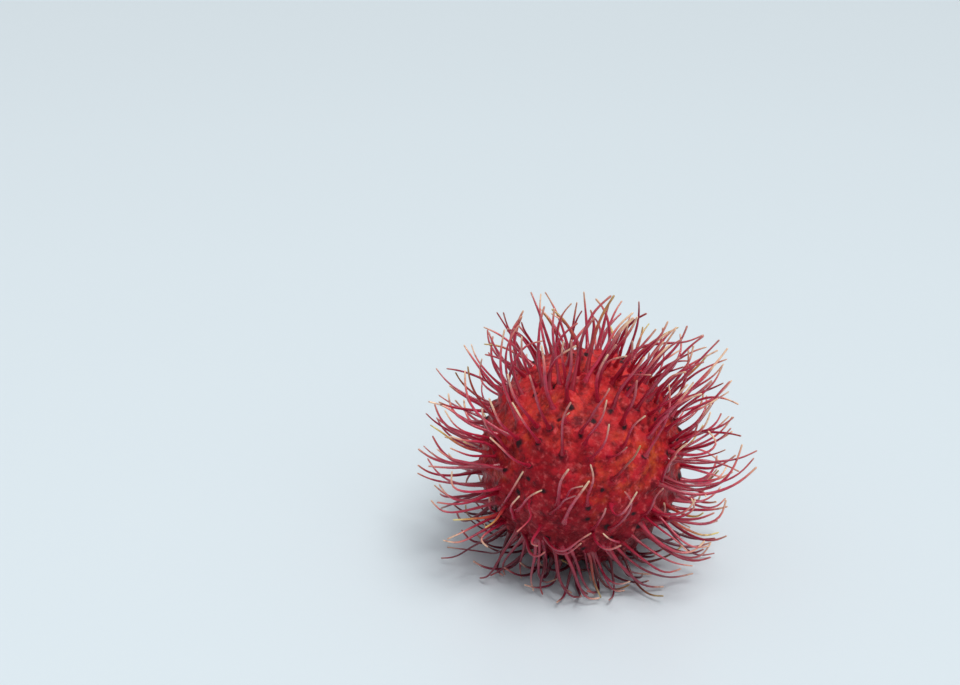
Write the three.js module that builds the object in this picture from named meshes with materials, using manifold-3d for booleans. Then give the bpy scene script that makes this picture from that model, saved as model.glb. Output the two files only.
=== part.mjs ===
// Rambutan: one whole fruit, lying with its blossom end forward and slightly up.
// The leathery body is an ellipsoid with a small flat spot underneath; soft
// tapering spinterns grow out of it on all sides, and the scar of the stalk
// is at the back. Everything grew as one piece, so it is one closed solid.
// Units are millimetres, +Z up. The origin is the middle of the flat spot.
import * as THREE from "three";
import { mergeVertices } from "three/addons/utils/BufferGeometryUtils.js";
import Module from "manifold-3d";

// ---- driving dimensions (mm, degrees) --------------------------------------
const STEM_SEMI = 21.0; // half length of the body, from stalk scar to blossom end
const WIDTH_SEMI = 17.4; // half width of the body, side to side
const HEIGHT_SEMI = 18.3; // half height of the body, across the other two
const TILT_UP = 23.0; // how far the blossom end points up
const TURN = -5.4; // how far the blossom end turns to the side
const FLAT_CUT = 0.35; // how much the flat spot takes off the lowest point
const BODY_DETAIL = 5; // subdivisions of the body's surface
const ROOT_R = 0.5; // radius of a spintern where it leaves the skin
const MID_R = 0.32; // radius halfway along
const TIP_R = 0.2; // radius close to the tip
const ROOT_DEPTH = 0.9; // how far a spintern's root reaches into the body
const SPINTERN_SIDES = 3;
const SPINTERN_STEPS = 3; // pieces along a bent spintern; a nearly straight one has one less
const MUCH_BEND = 40; // degrees
const FLOOR_GAP = 0.06; // no spintern comes closer to the resting plane
const LYING_Z = 0.6; // centre line of a spintern that lies on the resting plane
const FILL_COUNT = 560; // even spread of roots over the body
const FILL_SPACING = 2.45; // least distance between two roots
const FILL_LENGTH = 12.0;
const FILL_LENGTH_SPREAD = 4.2;
const FILL_TOP_SHORTER = 0.16; // the ones on top are shorter by this share
const UPWARD = 0.75; // how much the bending of the low spinterns favours up
const SET_SIDE = [-0.063, -0.895, 0.442]; // the side covered by the hand-set spinterns
const SET_BARE = 0.74; // nothing is added this near its middle
const SET_EDGE = 0.56; // from here to there, only in wide gaps
const SET_SPACING = 4.4;
const SCAR_CLEAR = -0.984; // no spinterns on the stalk scar
const SCAR_R = 2.7; // stalk scar: rim radius, pit radius, rim height, pit depth
const SCAR_PIT_R = 1.7;
const SCAR_RISE = 0.7;
const SCAR_PIT = 0.5;

// ---- spinterns set by hand --------------------------------------------------
// Six points along each centre line, root first, then thickness (1 = usual)
// and whether the tip is yellow-green (1) or pink (0).
// prettier-ignore
const SET_SPINTERNS = [
  [-4.4, -20.4, 27.1, -4.5, -22.1, 29.5, -4.7, -23.7, 32, -4.9, -25.1, 34.6, -4.8, -26.2, 37.4, -3.6, -26.6, 39.9, 1, 0],
  [-0.1, -21.1, 26.7, 0.5, -23.3, 28.6, 1.1, -25.4, 30.6, 1.6, -27.5, 32.7, 2.1, -29.2, 35, 2.4, -30.2, 37.7, 0.9, 0],
  [-0.9, -20, 28.9, -0.5, -21.7, 31, 0.1, -23.4, 33.1, 0.9, -25, 35.3, 1.7, -26.3, 37.6, 2.2, -26.7, 40.3, 0.9, 0],
  [-1.5, -18.8, 30.5, -1, -20.3, 32.6, -0.2, -21.8, 34.6, 0.6, -23.1, 36.8, 1.6, -24.2, 38.9, 2.6, -24.5, 41.4, 0.9, 0],
  [5.6, -16.5, 30.9, 5.7, -18.1, 33, 6, -19.6, 35, 6.6, -21, 37.1, 7.1, -22.1, 39.3, 7.3, -22.3, 41.8, 1.2, 0],
  [3.6, -21.5, 23.4, 4.4, -23.5, 25.1, 5, -25.3, 27, 5.6, -27, 29.1, 6.6, -28.5, 31.1, 7.5, -29.2, 33.5, 1, 1],
  [9, -18, 25.1, 10.5, -17, 27.4, 11.9, -16.1, 29.6, 13.3, -15.2, 31.9, 13.8, -14.1, 34.4, 13.4, -13, 37, 1, 0],
  [5.3, -19, 28, 5.8, -20.8, 29.8, 6.1, -22.5, 31.7, 6.4, -24.1, 33.7, 6.9, -25.5, 35.7, 8.3, -26.5, 37.5, 0.9, 0],
  [-3.8, -17.3, 31.6, -4, -18.2, 32.4, -4.1, -19.2, 33.2, -4.1, -20, 34, -3.9, -20.8, 34.8, -3.4, -21.6, 35.7, 0.7, 0],
  [2.9, -20.4, 27.1, 3.3, -22, 27.9, 3.8, -23.4, 28.8, 4.3, -24.8, 29.7, 4.9, -26.1, 30.8, 5.7, -27, 32.1, 0.8, 0],
  [-5.1, -21.7, 18.7, -5.2, -23.5, 20.6, -5.2, -25.2, 22.7, -5.1, -26.8, 24.8, -4.8, -28.2, 27, -3.8, -29.1, 29.2, 1.2, 0],
  [-6.2, -21.1, 16.8, -5.8, -23.5, 18.7, -5.4, -25.9, 20.5, -4.9, -28.2, 22.5, -4.3, -30.4, 24.4, -2.8, -32.5, 26.2, 0.9, 0],
  [-4.6, -21.9, 19.7, -4.2, -24.3, 21.3, -3.9, -26.6, 23.1, -3.6, -28.8, 25, -3.1, -31, 26.8, -1.8, -33, 28.2, 0.8, 0],
  [-4, -21.3, 15, -3.8, -22.8, 17.3, -3.4, -24.3, 19.5, -2.6, -25.7, 21.7, -1.5, -26.9, 23.9, -0.3, -27.4, 26.2, 1.2, 0],
  [-0.3, -22.4, 19, -0.4, -24.3, 21.2, -0.3, -26.1, 23.4, -0.1, -27.9, 25.6, 0.1, -29.4, 28, -0.4, -30.1, 30.6, 0.9, 0],
  [0.7, -21.2, 13.9, 0.9, -23.4, 15.6, 1.2, -25.6, 17.3, 1.5, -27.8, 19.1, 1.8, -29.8, 21, 2, -31.3, 23.4, 1, 0],
  [3.7, -21.8, 19.2, 3.6, -24.7, 19.5, 4.2, -27.5, 19.9, 5.1, -29.6, 21.8, 6, -31.3, 24, 7, -32.1, 26.7, 0.9, 0],
  [3.3, -20.7, 13.8, 4.4, -22.9, 15.4, 5.5, -24.8, 17.5, 6.2, -26.5, 19.8, 6.6, -27.7, 22.5, 5.2, -28.4, 24.8, 0.95, 0],
  [9, -18.1, 14.9, 9.7, -19.9, 16.3, 10.2, -21.6, 17.9, 10.6, -23, 19.8, 10.9, -24.3, 21.8, 12, -25, 23.7, 0.95, 0],
  [12.2, -12.4, 10.8, 12.6, -13.3, 11.7, 13, -14.2, 12.7, 13.4, -15, 13.7, 13.4, -15.6, 15, 13.1, -15.8, 16.2, 0.9, 0],
  [-7, -18.4, 11.2, -6.4, -21.1, 11, -5.1, -23.6, 11.2, -3.4, -25.3, 12.4, -1.9, -26.4, 14.6, 0.2, -26.9, 16.4, 0.95, 0],
  [-6.1, -17.6, 9.4, -5.6, -19.6, 9.4, -4.8, -21.5, 9.6, -3.7, -23.1, 10.3, -2.6, -24.1, 11.7, -1.2, -24.5, 13.2, 0.9, 0],
  [0.7, -21.1, 13.6, 0.9, -23.8, 14, 1.2, -26.4, 14.4, 1.8, -29, 14.9, 2.9, -31.3, 15.7, 4.6, -32.5, 17.3, 1, 0],
  [6.2, -17.1, 9.5, 5.5, -18.6, 10.2, 4.8, -20, 11, 4.1, -21.3, 11.9, 3.3, -22.4, 13, 2.4, -23.1, 14.3, 0.8, 0],
  [-7.8, -19.5, 14, -8.2, -21.9, 14.7, -8.6, -24.4, 15.2, -9.1, -26.9, 15.7, -9.7, -29.5, 15.8, -8.8, -31.4, 16.5, 1, 0],
  [-10.5, -14.7, 9.7, -10.2, -16.5, 9.5, -10, -18.2, 9.2, -9.6, -19.9, 8.8, -8.4, -21.3, 8.8, -7.1, -21.6, 9.9, 1, 0],
  [-9.8, -19.3, 18.7, -9.9, -22.1, 19.1, -9.9, -24.9, 19.5, -9.8, -27.6, 19.8, -10.7, -30.3, 20, -12.1, -32.6, 19.7, 0.8, 0],
  [-12.1, -15.4, 13, -12.5, -16.9, 14.4, -12.7, -18.3, 15.8, -12.8, -19.6, 17.4, -12.5, -20.9, 19, -11.6, -21.8, 20.6, 0.9, 0],
  [-11.9, -16.5, 14.9, -11.4, -18.1, 16.4, -10.8, -19.6, 18, -10.1, -21.1, 19.6, -9.3, -22.4, 21.2, -7.9, -23.3, 22.5, 0.95, 0],
  [-14.7, -8.9, 10.8, -15.5, -9.8, 11.3, -16.1, -10.6, 12.1, -16.4, -11.2, 13.1, -16.5, -11.6, 14.3, -16.5, -11.7, 15.5, 0.9, 0],
  [-14.6, -10.2, 11.6, -14.4, -12.9, 13.7, -13.9, -15.3, 16, -13.1, -17.3, 18.6, -12, -18.9, 21.3, -10.8, -20, 24.2, 1, 0],
  [-14, -9.3, 9.8, -15.1, -10.5, 9.5, -16, -11.2, 9.4, -16.7, -11.7, 9.3, -17.1, -11.8, 9.3, -17.4, -11.6, 10.4, 0.8, 0],
  [-13.3, -15, 15.3, -14, -16.8, 15.7, -14.6, -18.7, 15.9, -15.1, -20.5, 15.9, -15.9, -22.4, 15.8, -17.2, -23.7, 15.6, 1, 1],
  [-13.4, -11.6, 10.5, -14.5, -13.1, 10.6, -15.7, -14.6, 10.6, -17, -16, 10.4, -18, -17.4, 9.9, -16.7, -18.3, 9, 1, 0],
  [-11.2, -15.1, 11.1, -12.6, -15.2, 8.8, -14, -15.5, 6.5, -15.3, -16, 4.2, -16.6, -16.1, 2, -18.1, -14.3, 0.6, 1.1, 0],
  [-10.1, -14.7, 9.3, -11.2, -14.1, 7.7, -12.2, -13.6, 6, -13.2, -13.2, 4.3, -14.2, -13.1, 2.5, -13.7, -13.3, 0.6, 1, 0],
  [-9, -12, 6, -10.3, -12.9, 4.9, -11.6, -13.5, 3.8, -13.2, -13.7, 2.7, -14.7, -13.6, 1.6, -16.3, -13.5, 0.6, 1, 0],
  [-11, -12.4, 8.2, -13.2, -11.2, 5, -15.1, -9, 2.5, -16.7, -5.5, 0.7, -20.2, -5.3, 1.1, -24, -5.3, 1.7, 0.9, 0],
  [-13, -11, 9.5, -15.3, -10.7, 7.4, -17.7, -10.1, 5.5, -20, -9.1, 3.6, -22.4, -8.8, 1.6, -25, -8.2, 1.1, 0.9, 0],
  [-13.7, -11, 10.7, -15.7, -12.8, 10.4, -17.6, -14.4, 10, -19.7, -16, 9.5, -22, -17.2, 9.1, -24.4, -17.4, 9.8, 1, 0],
  [-13.8, -13.2, 13.2, -15.2, -14.9, 13.4, -16.8, -16.6, 13.8, -18.5, -18, 14.3, -20.4, -19.2, 14.8, -22.6, -19.8, 15, 1, 1],
  [-14.6, -12.8, 15.1, -17.1, -13.2, 14.2, -19.6, -13.4, 13.6, -22.2, -13.6, 13.1, -24.8, -13.5, 13.3, -26.5, -12.8, 15.1, 1, 0],
  [-14.6, -13.6, 17.2, -16.4, -15.8, 17.6, -18.3, -17.8, 18, -20.3, -19.8, 18.2, -22.6, -21.3, 18.7, -25.2, -22, 19.5, 1, 0],
  [-14.2, -14.6, 18.7, -16.2, -16.4, 18.8, -18.4, -17.8, 19.3, -20.8, -19, 19.9, -22.9, -19.6, 21.2, -22.7, -19.1, 23.8, 1, 0],
  [-14.2, -10.5, 11.2, -16, -12.1, 11.2, -17.8, -13.6, 11.1, -19.6, -15, 10.9, -21.6, -16.2, 10.4, -23.7, -17, 9.8, 0.95, 0],
  [-13.8, -14.9, 21.9, -16.1, -15.6, 23, -18.4, -16.3, 23.7, -20.8, -16.8, 24.4, -23.3, -17.1, 25.3, -25.3, -16.8, 26.8, 1, 0],
  [-14.2, -14.2, 22.5, -16.6, -15, 22.6, -19.1, -15.6, 22.9, -21.7, -16.2, 23, -24.2, -16.5, 23.2, -26.8, -16.6, 23.5, 1.1, 0],
  [-15.2, -11.5, 24, -16.2, -13.3, 25.7, -17.5, -15.1, 27.2, -19.1, -16.9, 28.3, -20.9, -18.7, 29.3, -23, -19.5, 30.5, 1, 0],
  [-12.7, -13.6, 27.5, -15.3, -13.1, 28.9, -17.8, -12.4, 30.5, -19.7, -11.5, 32.6, -20.6, -10.4, 35.3, -20.6, -9.3, 37.9, 1.1, 0],
  [-11.5, -15.2, 27.7, -12.6, -17, 29.5, -13.8, -18.8, 31.4, -14.9, -20.4, 33.4, -15.6, -21.6, 35.9, -16.6, -22, 38.5, 1.1, 0],
  [-14.7, -10.8, 26.3, -17.2, -10.4, 27.3, -19.8, -10, 28.1, -22, -9.4, 29.7, -24.2, -8.8, 31.1, -26.9, -8.5, 31.7, 1.05, 0],
  [-16, -9.3, 23.7, -17.6, -10.6, 25.2, -19.5, -11.7, 26.6, -21.3, -12.7, 28.1, -23.4, -13.4, 29.3, -25.3, -13.4, 30.9, 1, 0],
  [-15.3, -10.2, 25.1, -16.9, -12, 26.7, -18.8, -13.9, 28, -20.7, -15.6, 29.4, -22.6, -16.8, 31.4, -23.9, -16.9, 34, 0.95, 0],
  [-16, -10.1, 22.6, -18.2, -11, 23.6, -20.4, -11.8, 24.5, -22.5, -12.1, 25.9, -24.4, -12.2, 27.6, -26.5, -12, 29, 1, 1],
  [-15.2, -12.1, 23, -16.4, -14.1, 24.1, -17.8, -16.1, 25.2, -19.3, -18.1, 26.1, -20.9, -19.7, 27.4, -23, -20.5, 28.8, 0.9, 0],
  [-11.2, -13.6, 29.7, -12.7, -12.4, 32.5, -14, -11.2, 35.4, -14.6, -10, 38.4, -14.5, -8.7, 41.6, -13.9, -7.4, 44.6, 1.1, 0],
  [-11.3, -9.3, 32, -12.8, -9, 34.5, -13.6, -8.6, 37.2, -13.8, -8, 40, -13.1, -7.3, 42.8, -11.5, -6.6, 45, 1, 0],
  [-10.6, -9.1, 32.7, -11.9, -8.1, 35.1, -12.6, -6.9, 37.8, -13, -5.8, 40.6, -12.6, -4.6, 43.4, -11, -3.7, 45.5, 1.1, 0],
  [-12.6, -7.9, 31, -13.3, -8.1, 33.8, -13.1, -8.2, 36.8, -12, -8.1, 39.5, -10.3, -7.9, 41.8, -7.5, -8, 42.7, 0.95, 0],
  [-8.4, -8.7, 34.3, -9.2, -10.4, 36.5, -9.9, -12, 38.7, -10.7, -13.4, 41, -11.3, -14.5, 43.6, -11.3, -14.7, 46.4, 1, 0],
  [-7.1, -10.1, 34.6, -7.8, -9.1, 37.2, -8.3, -8, 39.8, -8.2, -6.9, 42.5, -7.9, -5.8, 45.2, -7.1, -4.7, 47.7, 1.25, 0],
  [-4.6, -10.9, 35.3, -4.9, -10.6, 38.1, -5.3, -10.3, 40.8, -5.9, -9.9, 43.5, -6, -9.2, 46.2, -5.6, -8.4, 48.8, 1.1, 0],
  [-6.4, -11.4, 34.5, -6.3, -10.4, 37, -5.9, -9.3, 39.5, -5.3, -8.3, 42, -3.8, -7.4, 44.1, -1.6, -6.8, 45.5, 1.1, 0],
  [-6.5, -7.9, 35.5, -6.4, -9.7, 37.5, -6, -11.4, 39.6, -5.4, -13.1, 41.7, -4.3, -14.7, 43.5, -2.3, -15.8, 45.1, 0.9, 0],
  [-3.4, -10.8, 35.6, -3.8, -12.7, 37.7, -4.1, -14.5, 39.8, -4.5, -16.2, 42, -4.8, -17.6, 44.4, -4.5, -18.3, 46.9, 1, 0],
  [-2.8, -12.6, 35, -2.1, -11.3, 38.4, -1.4, -9.9, 41.7, -0.4, -8.5, 45, 1.2, -7.2, 48.1, 3.9, -6.3, 50.3, 1.2, 0],
  [-0.1, -9.2, 36.4, 0.3, -8, 39.1, 0.9, -6.9, 41.9, 1.9, -5.8, 44.5, 3.1, -4.8, 47, 4.6, -3.8, 49.4, 1.2, 1],
  [-1.6, -8.5, 36.5, -1.5, -9.5, 38.9, -1.4, -10.3, 41.3, -1.1, -11, 43.7, -0.5, -11.3, 46.1, 0.8, -11.2, 48.3, 1.1, 0],
  [-0.7, -11.1, 35.8, 0.7, -10.1, 38.3, 2.4, -9.2, 40.6, 3.9, -8.1, 43, 5.5, -7.2, 45.4, 7.7, -6.4, 47.3, 1.05, 0],
  [1.4, -6.6, 36.8, 2.3, -7.9, 39.1, 3.3, -9, 41.3, 4.4, -9.9, 43.7, 5.6, -10.5, 46.2, 7.5, -10.6, 48, 1.15, 0],
  [3.5, -5.1, 36.5, 4.1, -6.5, 38.7, 4.9, -7.8, 40.9, 5.8, -8.9, 43.1, 7, -9.8, 45.4, 8.2, -9.8, 47.8, 1.2, 0],
  [1.4, -13.3, 34.7, 1.4, -15, 37.1, 1.5, -16.6, 39.5, 1.9, -18.1, 42, 2.6, -19.3, 44.5, 3.9, -19.7, 47, 1.1, 0],
  [2.1, -9.4, 36.1, 2.2, -11.2, 38, 2.4, -13, 39.8, 2.9, -14.7, 41.7, 4, -16.5, 43.1, 5.9, -17.9, 44.1, 0.9, 0],
  [4.2, -8.6, 35.8, 4.9, -10.7, 36.9, 5.8, -12.7, 38.1, 6.8, -14.7, 39.3, 8, -16.6, 40.2, 9.9, -18.1, 40.9, 0.95, 0],
  [5.4, -8, 35.5, 5.6, -9.8, 37.3, 6, -11.6, 39.2, 6.4, -13.3, 41.2, 6.9, -14.8, 43.3, 6.8, -15.4, 45.8, 1.1, 0],
  [-5.7, -14.9, 32.9, -6.5, -15.8, 35.3, -7.1, -16.5, 37.8, -7.4, -17, 40.4, -7.7, -17.2, 43, -8.1, -16.8, 45.6, 1.2, 0],
  [-3.4, -14.4, 34, -3.7, -15.7, 36.5, -3.6, -17, 39, -3.3, -18, 41.7, -3.3, -18.7, 44.4, -3.2, -18.6, 47.3, 1.2, 0],
  [1.6, -14.1, 34.2, 1.2, -16, 36.4, 1, -17.7, 38.6, 1.1, -19.3, 40.9, 1.5, -20.7, 43.4, 2.5, -21.3, 45.9, 1.1, 0],
  [-8.4, -16, 30.3, -9.5, -17.7, 32.5, -10.7, -19.3, 34.8, -11.9, -20.7, 37.2, -13, -21.7, 39.8, -13.7, -21.8, 42.7, 1.1, 0],
  [-6.3, -17.3, 30.5, -7.2, -19.1, 32.8, -8.1, -20.8, 35.2, -8.7, -22.3, 37.7, -9.2, -23.6, 40.5, -10.1, -23.8, 43.4, 1.1, 0],
  [-8.1, -17.9, 28.4, -8.9, -19.9, 30.4, -9.8, -21.8, 32.5, -10.8, -23.6, 34.6, -11.8, -25.1, 36.9, -13, -25.8, 39.5, 1, 0],
  [-13.3, -14.3, 25.2, -14.2, -16.3, 27.3, -15.1, -18.2, 29.4, -16.2, -20, 31.5, -17.3, -21.6, 33.9, -17.7, -22.1, 36.8, 1, 0],
  [-9.7, -18.7, 24.6, -11, -20.6, 25.9, -12.3, -22.3, 27.4, -13.6, -23.8, 29.2, -14.8, -25.1, 31.2, -16.5, -25.6, 33.2, 1, 0],
  [10.5, -0.5, 32.8, 11.2, -1.2, 34.8, 12.1, -1.8, 36.8, 13.2, -2.2, 38.7, 14.3, -2.3, 40.7, 15.6, -2.1, 42.5, 1.05, 0],
  [8.8, -0.5, 34, 9.5, -1.4, 35.8, 10.3, -2.2, 37.6, 11.3, -2.8, 39.3, 12.4, -3.3, 41, 14.1, -3.3, 42.3, 1, 0],
  [11.8, -0.5, 31.5, 13, -0.9, 33.7, 14.7, -1.5, 35.5, 16.6, -1.9, 37, 18.7, -2.1, 38.4, 21, -2.2, 39.2, 1, 0],
  [12.7, -2.4, 30.7, 14.4, -3, 32.7, 16.1, -3.5, 34.7, 18.1, -3.9, 36.6, 20.3, -4.1, 38.1, 22.7, -4, 39.4, 1.05, 0],
  [13.7, -3.2, 29.4, 15.6, -3.1, 31.3, 17.6, -3, 33.1, 19.7, -2.8, 34.8, 22.1, -2.7, 36.1, 24.6, -2.5, 37.1, 1, 0],
  [14.9, -1.5, 27.3, 16.6, -2, 29.2, 18.4, -2.4, 31, 20.4, -2.8, 32.6, 22.5, -2.8, 34.1, 24.1, -2.4, 36.1, 1, 0],
  [15.5, -3.5, 26.2, 17.1, -3.8, 28.2, 19, -4.1, 30, 21, -4.1, 31.8, 22.6, -4, 33.8, 23.7, -3.3, 36.1, 1.05, 0],
  [13.5, -6.4, 29.2, 14.9, -7.4, 31.2, 16.6, -8.3, 32.9, 18.4, -9, 34.8, 20.1, -9.2, 36.7, 21.6, -8.9, 38.9, 1, 0],
  [12, -10.9, 29.2, 13.5, -11.4, 31.1, 15.2, -11.9, 32.7, 17, -12.2, 34.2, 19.1, -12.4, 35.5, 20.8, -12.1, 37.1, 1, 0],
  [10.3, -11.9, 30.6, 11.1, -13.8, 32.4, 12, -15.6, 34.1, 13.1, -17.3, 35.8, 14.4, -18.8, 37.7, 15.8, -19.3, 39.8, 0.95, 0],
  [5.6, -10.6, 34.7, 6.6, -12, 36.8, 7.8, -13.3, 38.9, 9, -14.4, 41.1, 10.4, -15.1, 43.4, 12, -15.1, 45.6, 1.1, 0],
  [3.9, -10.3, 35.4, 4.9, -11.4, 37.9, 6.1, -12.5, 40.2, 7.5, -13.3, 42.6, 9.1, -13.8, 45, 10.9, -13.6, 47.2, 1.1, 0],
  [5, -4.2, 36.1, 5.4, -5.7, 37.9, 5.7, -7.1, 39.9, 6, -8.3, 41.9, 6.4, -9.4, 44, 6.5, -9.5, 46.4, 1, 0],
  [2.8, -6.2, 36.6, 3.2, -7.8, 38.5, 3.7, -9.3, 40.5, 4.2, -10.6, 42.6, 4.8, -11.7, 44.7, 5.7, -12, 47, 1, 0],
  [1.6, -8.4, 36.4, 2.3, -9.7, 39, 3.1, -11, 41.5, 4.1, -12, 44, 5.4, -12.7, 46.6, 7.3, -12.8, 48.8, 1.1, 0],
  [13.3, -10.8, 27.1, 14.4, -12, 29, 15.8, -13.1, 30.8, 17.5, -14.1, 32.4, 19.5, -14.9, 33.7, 21.5, -15, 35.2, 1, 0],
  [14, -11.7, 24.5, 15.2, -13.4, 26.1, 16.4, -15, 27.8, 17.9, -16.5, 29.5, 19.3, -17.6, 31.5, 20.1, -17.6, 34, 1, 0],
  [10.1, 1.7, 32.6, 11.1, 1.4, 34.5, 12.1, 1.2, 36.4, 13.2, 1.1, 38.3, 14.5, 1.2, 40.1, 16.2, 1.4, 41.4, 1.1, 0],
  [7.1, 0.2, 34.9, 8.9, 1.2, 37.3, 11.8, 1.6, 38.2, 15, 1.6, 38.4, 18.1, 1.7, 38.4, 21, 2.2, 39.6, 0.95, 0],
  [11.1, -2.6, 32.4, 11.7, -3.6, 33.8, 12.6, -4.5, 34.9, 13.8, -5.5, 35.8, 15.2, -6.2, 36.6, 16.7, -6.6, 37.4, 0.95, 0],
  [11.9, -7.7, 30.9, 12.1, -9.1, 32.8, 12.5, -10.4, 34.8, 13, -11.7, 36.8, 14.1, -12.8, 38.6, 16.2, -13.7, 39.5, 1, 0],
  [13.2, -3.3, 30.1, 14.3, -4.3, 32.1, 15.6, -5.1, 34.1, 16.8, -5.6, 36.2, 17.8, -5.8, 38.5, 18.2, -5.4, 40.9, 1.05, 0],
  [15.4, -5.2, 25.8, 16.9, -6, 27.6, 18.5, -6.7, 29.3, 20.4, -7.3, 30.8, 22.5, -7.8, 31.9, 24.4, -7.7, 33.3, 1, 0],
  [15.9, -6.7, 23.6, 17.5, -7.8, 24.9, 19.3, -8.9, 26.2, 21.3, -9.9, 27, 23.3, -10.4, 28.1, 25.1, -10.3, 29.7, 1, 0],
  [16.4, -6.6, 21.6, 18.1, -7.7, 22.4, 19.9, -8.7, 23.2, 21.7, -9.4, 24.2, 23.5, -9.7, 25.5, 24.9, -9.4, 27.2, 1, 0],
  [16.1, -8.4, 19.8, 17.8, -9.9, 20.2, 19.7, -11.3, 20.5, 21.7, -12.4, 21, 23.7, -12.9, 22.2, 25.5, -12.8, 23.7, 1, 0],
  [12.2, -15.8, 20.5, 15.7, -16.4, 19.1, 19.4, -16.4, 18.9, 23, -16, 20.1, 25.1, -14.8, 22.8, 26.3, -13.5, 26.1, 1.1, 0],
  [11.3, -16.9, 20.7, 14.8, -17.5, 19.3, 18.5, -17.7, 18.6, 22.3, -17.5, 19.2, 25.8, -16.9, 20.7, 28.6, -15.9, 23, 1.25, 0],
  [12, -15.9, 21.7, 15.3, -16.5, 20.2, 18.9, -16.7, 19.8, 22.5, -16.5, 20.3, 25.8, -15.9, 21.7, 28.2, -14.9, 24.2, 1, 0],
  [12.9, -14, 23.6, 16.2, -14.2, 23.1, 19.5, -14.3, 22.9, 22.7, -14.2, 23.2, 26, -14, 23.6, 28.9, -13.5, 24.9, 1, 0],
  [13.4, -12.8, 24.6, 15.6, -14.2, 24.6, 17.9, -15.2, 24.8, 20.3, -15.9, 25.7, 21.7, -15.9, 27.5, 20.1, -15.4, 29.4, 1, 0],
  [13.4, -14.1, 21.3, 13.6, -15.5, 22.9, 13.9, -16.8, 24.5, 14.3, -18.1, 26.1, 14.9, -19.2, 27.8, 16.1, -19.9, 29.4, 1.1, 0],
  [12.5, -15.5, 19.2, 12.5, -17, 20.8, 12.7, -18.3, 22.5, 12.8, -19.5, 24.2, 13.1, -20.7, 26.1, 14.2, -21.3, 27.7, 1, 0],
  [13.6, -13.5, 22.4, 16, -13.2, 23, 18.6, -13.2, 23, 21.2, -13.3, 22.8, 23.7, -13.6, 22.2, 26, -14, 21.1, 1, 0],
  [15.8, -7.7, 22.9, 17.7, -6.9, 25, 19.8, -6.1, 26.9, 21.6, -5.2, 29.1, 23.2, -4.3, 31.3, 25.2, -3.4, 33.3, 1.3, 0],
  [14, -11.1, 25.2, 15.1, -12.7, 27, 16.2, -14.3, 28.9, 17.6, -15.7, 30.7, 18.9, -16.8, 32.8, 20.3, -16.9, 35.1, 1.2, 0],
  [14.8, -10.7, 22.9, 15.5, -12.2, 24.5, 16.4, -13.6, 26.1, 17.3, -14.8, 27.7, 18.1, -15.7, 29.7, 18.2, -15.8, 31.9, 1, 0],
  [10, -8.6, 32.5, 11.9, -7.7, 34.6, 13.7, -6.9, 36.6, 15.7, -6.1, 38.6, 17.8, -5.3, 40.6, 20.1, -4.6, 42.2, 1.15, 0],
  [11.7, -10.2, 30, 13.5, -9.1, 32.6, 15.7, -8.1, 35.1, 17.9, -7.2, 37.4, 20.3, -6.3, 39.6, 22.7, -5.4, 41.8, 1.1, 0],
  [14.3, -7.2, 27.5, 16, -6.1, 30.1, 18.1, -5.2, 32.3, 20.4, -4.3, 34.5, 22.7, -3.4, 36.7, 24.6, -2.4, 39.1, 1.15, 0],
  [7.7, -9.4, 33.9, 8.9, -10.5, 36.2, 10.2, -11.5, 38.6, 11.6, -12.2, 41, 13.1, -12.6, 43.3, 15.4, -12.7, 45, 1.05, 0],
  [6.4, -11.7, 33.8, 7.5, -12.4, 36, 8.7, -13, 38.2, 10.1, -13.4, 40.4, 11.6, -13.5, 42.5, 13.3, -13.3, 44.3, 1.1, 0],
  [7.4, -4.3, 35, 8.1, -5.6, 37.4, 9.2, -6.8, 39.7, 10.6, -7.9, 41.9, 12.2, -8.7, 44, 13.4, -8.5, 46.5, 1.1, 0],
  [9.8, -5.7, 33.4, 11.2, -5.6, 35.6, 12.8, -5.4, 37.7, 14.6, -5.2, 39.6, 16.3, -4.8, 41.6, 17.3, -4.1, 43.9, 1.15, 0],
  [15.1, -3.7, 27, 15.9, -4.2, 29.4, 16.7, -4.6, 31.8, 17.4, -4.7, 34.3, 17.7, -4.6, 36.9, 17.6, -4, 39.4, 1.05, 0],
  [10.6, -14, 28.6, 11.3, -15.3, 30.9, 12.4, -16.6, 33.2, 13.8, -17.8, 35.2, 15.7, -18.9, 36.9, 18.2, -19.4, 38.1, 1.1, 0],
  [12.5, -11.2, 28.2, 13.6, -12, 30.5, 15, -12.9, 32.6, 16.8, -13.6, 34.4, 18.6, -14.1, 36.3, 20.5, -13.9, 38.1, 1.1, 0],
  [9.9, -15.5, 27.8, 11.1, -16.2, 30.2, 12.5, -16.8, 32.5, 13.9, -17.3, 34.8, 15.5, -17.4, 37, 17.1, -17.1, 39.2, 1.1, 0],
  [8, -13, 32, 9, -14.1, 34.4, 10.1, -15.1, 36.7, 11.3, -15.8, 39, 12.7, -16.3, 41.4, 14.7, -16.3, 43.3, 1.1, 0],
  [10.2, -9.4, 32.1, 11.7, -9.3, 33.9, 13.4, -9.1, 35.6, 15.4, -8.9, 37.1, 17.5, -8.8, 38.3, 19.8, -8.6, 39.1, 1.1, 0],
  [4, -15, 33, 4.4, -15.8, 35.3, 5, -16.5, 37.6, 6.1, -17.1, 39.7, 7.5, -17.5, 41.7, 8.9, -17.2, 43.7, 1, 0],
  [-6.8, -14.9, 6.9, -6.9, -16.1, 5.7, -7, -17.2, 4.4, -7.5, -18.2, 3.1, -7.9, -19.3, 1.9, -7.3, -20, 0.6, 0.95, 0],
  [-5, -16.2, 7.2, -5, -17.3, 5.9, -5, -18.3, 4.5, -4.4, -19.2, 3.1, -3.5, -19.7, 1.8, -2.3, -19.4, 0.6, 0.95, 0],
  [-3.2, -17.1, 7.5, -2.8, -18, 6.1, -2.3, -18.8, 4.6, -1.6, -19.6, 3.2, -0.8, -20.1, 1.8, 0.5, -19.7, 0.6, 1, 0],
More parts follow.
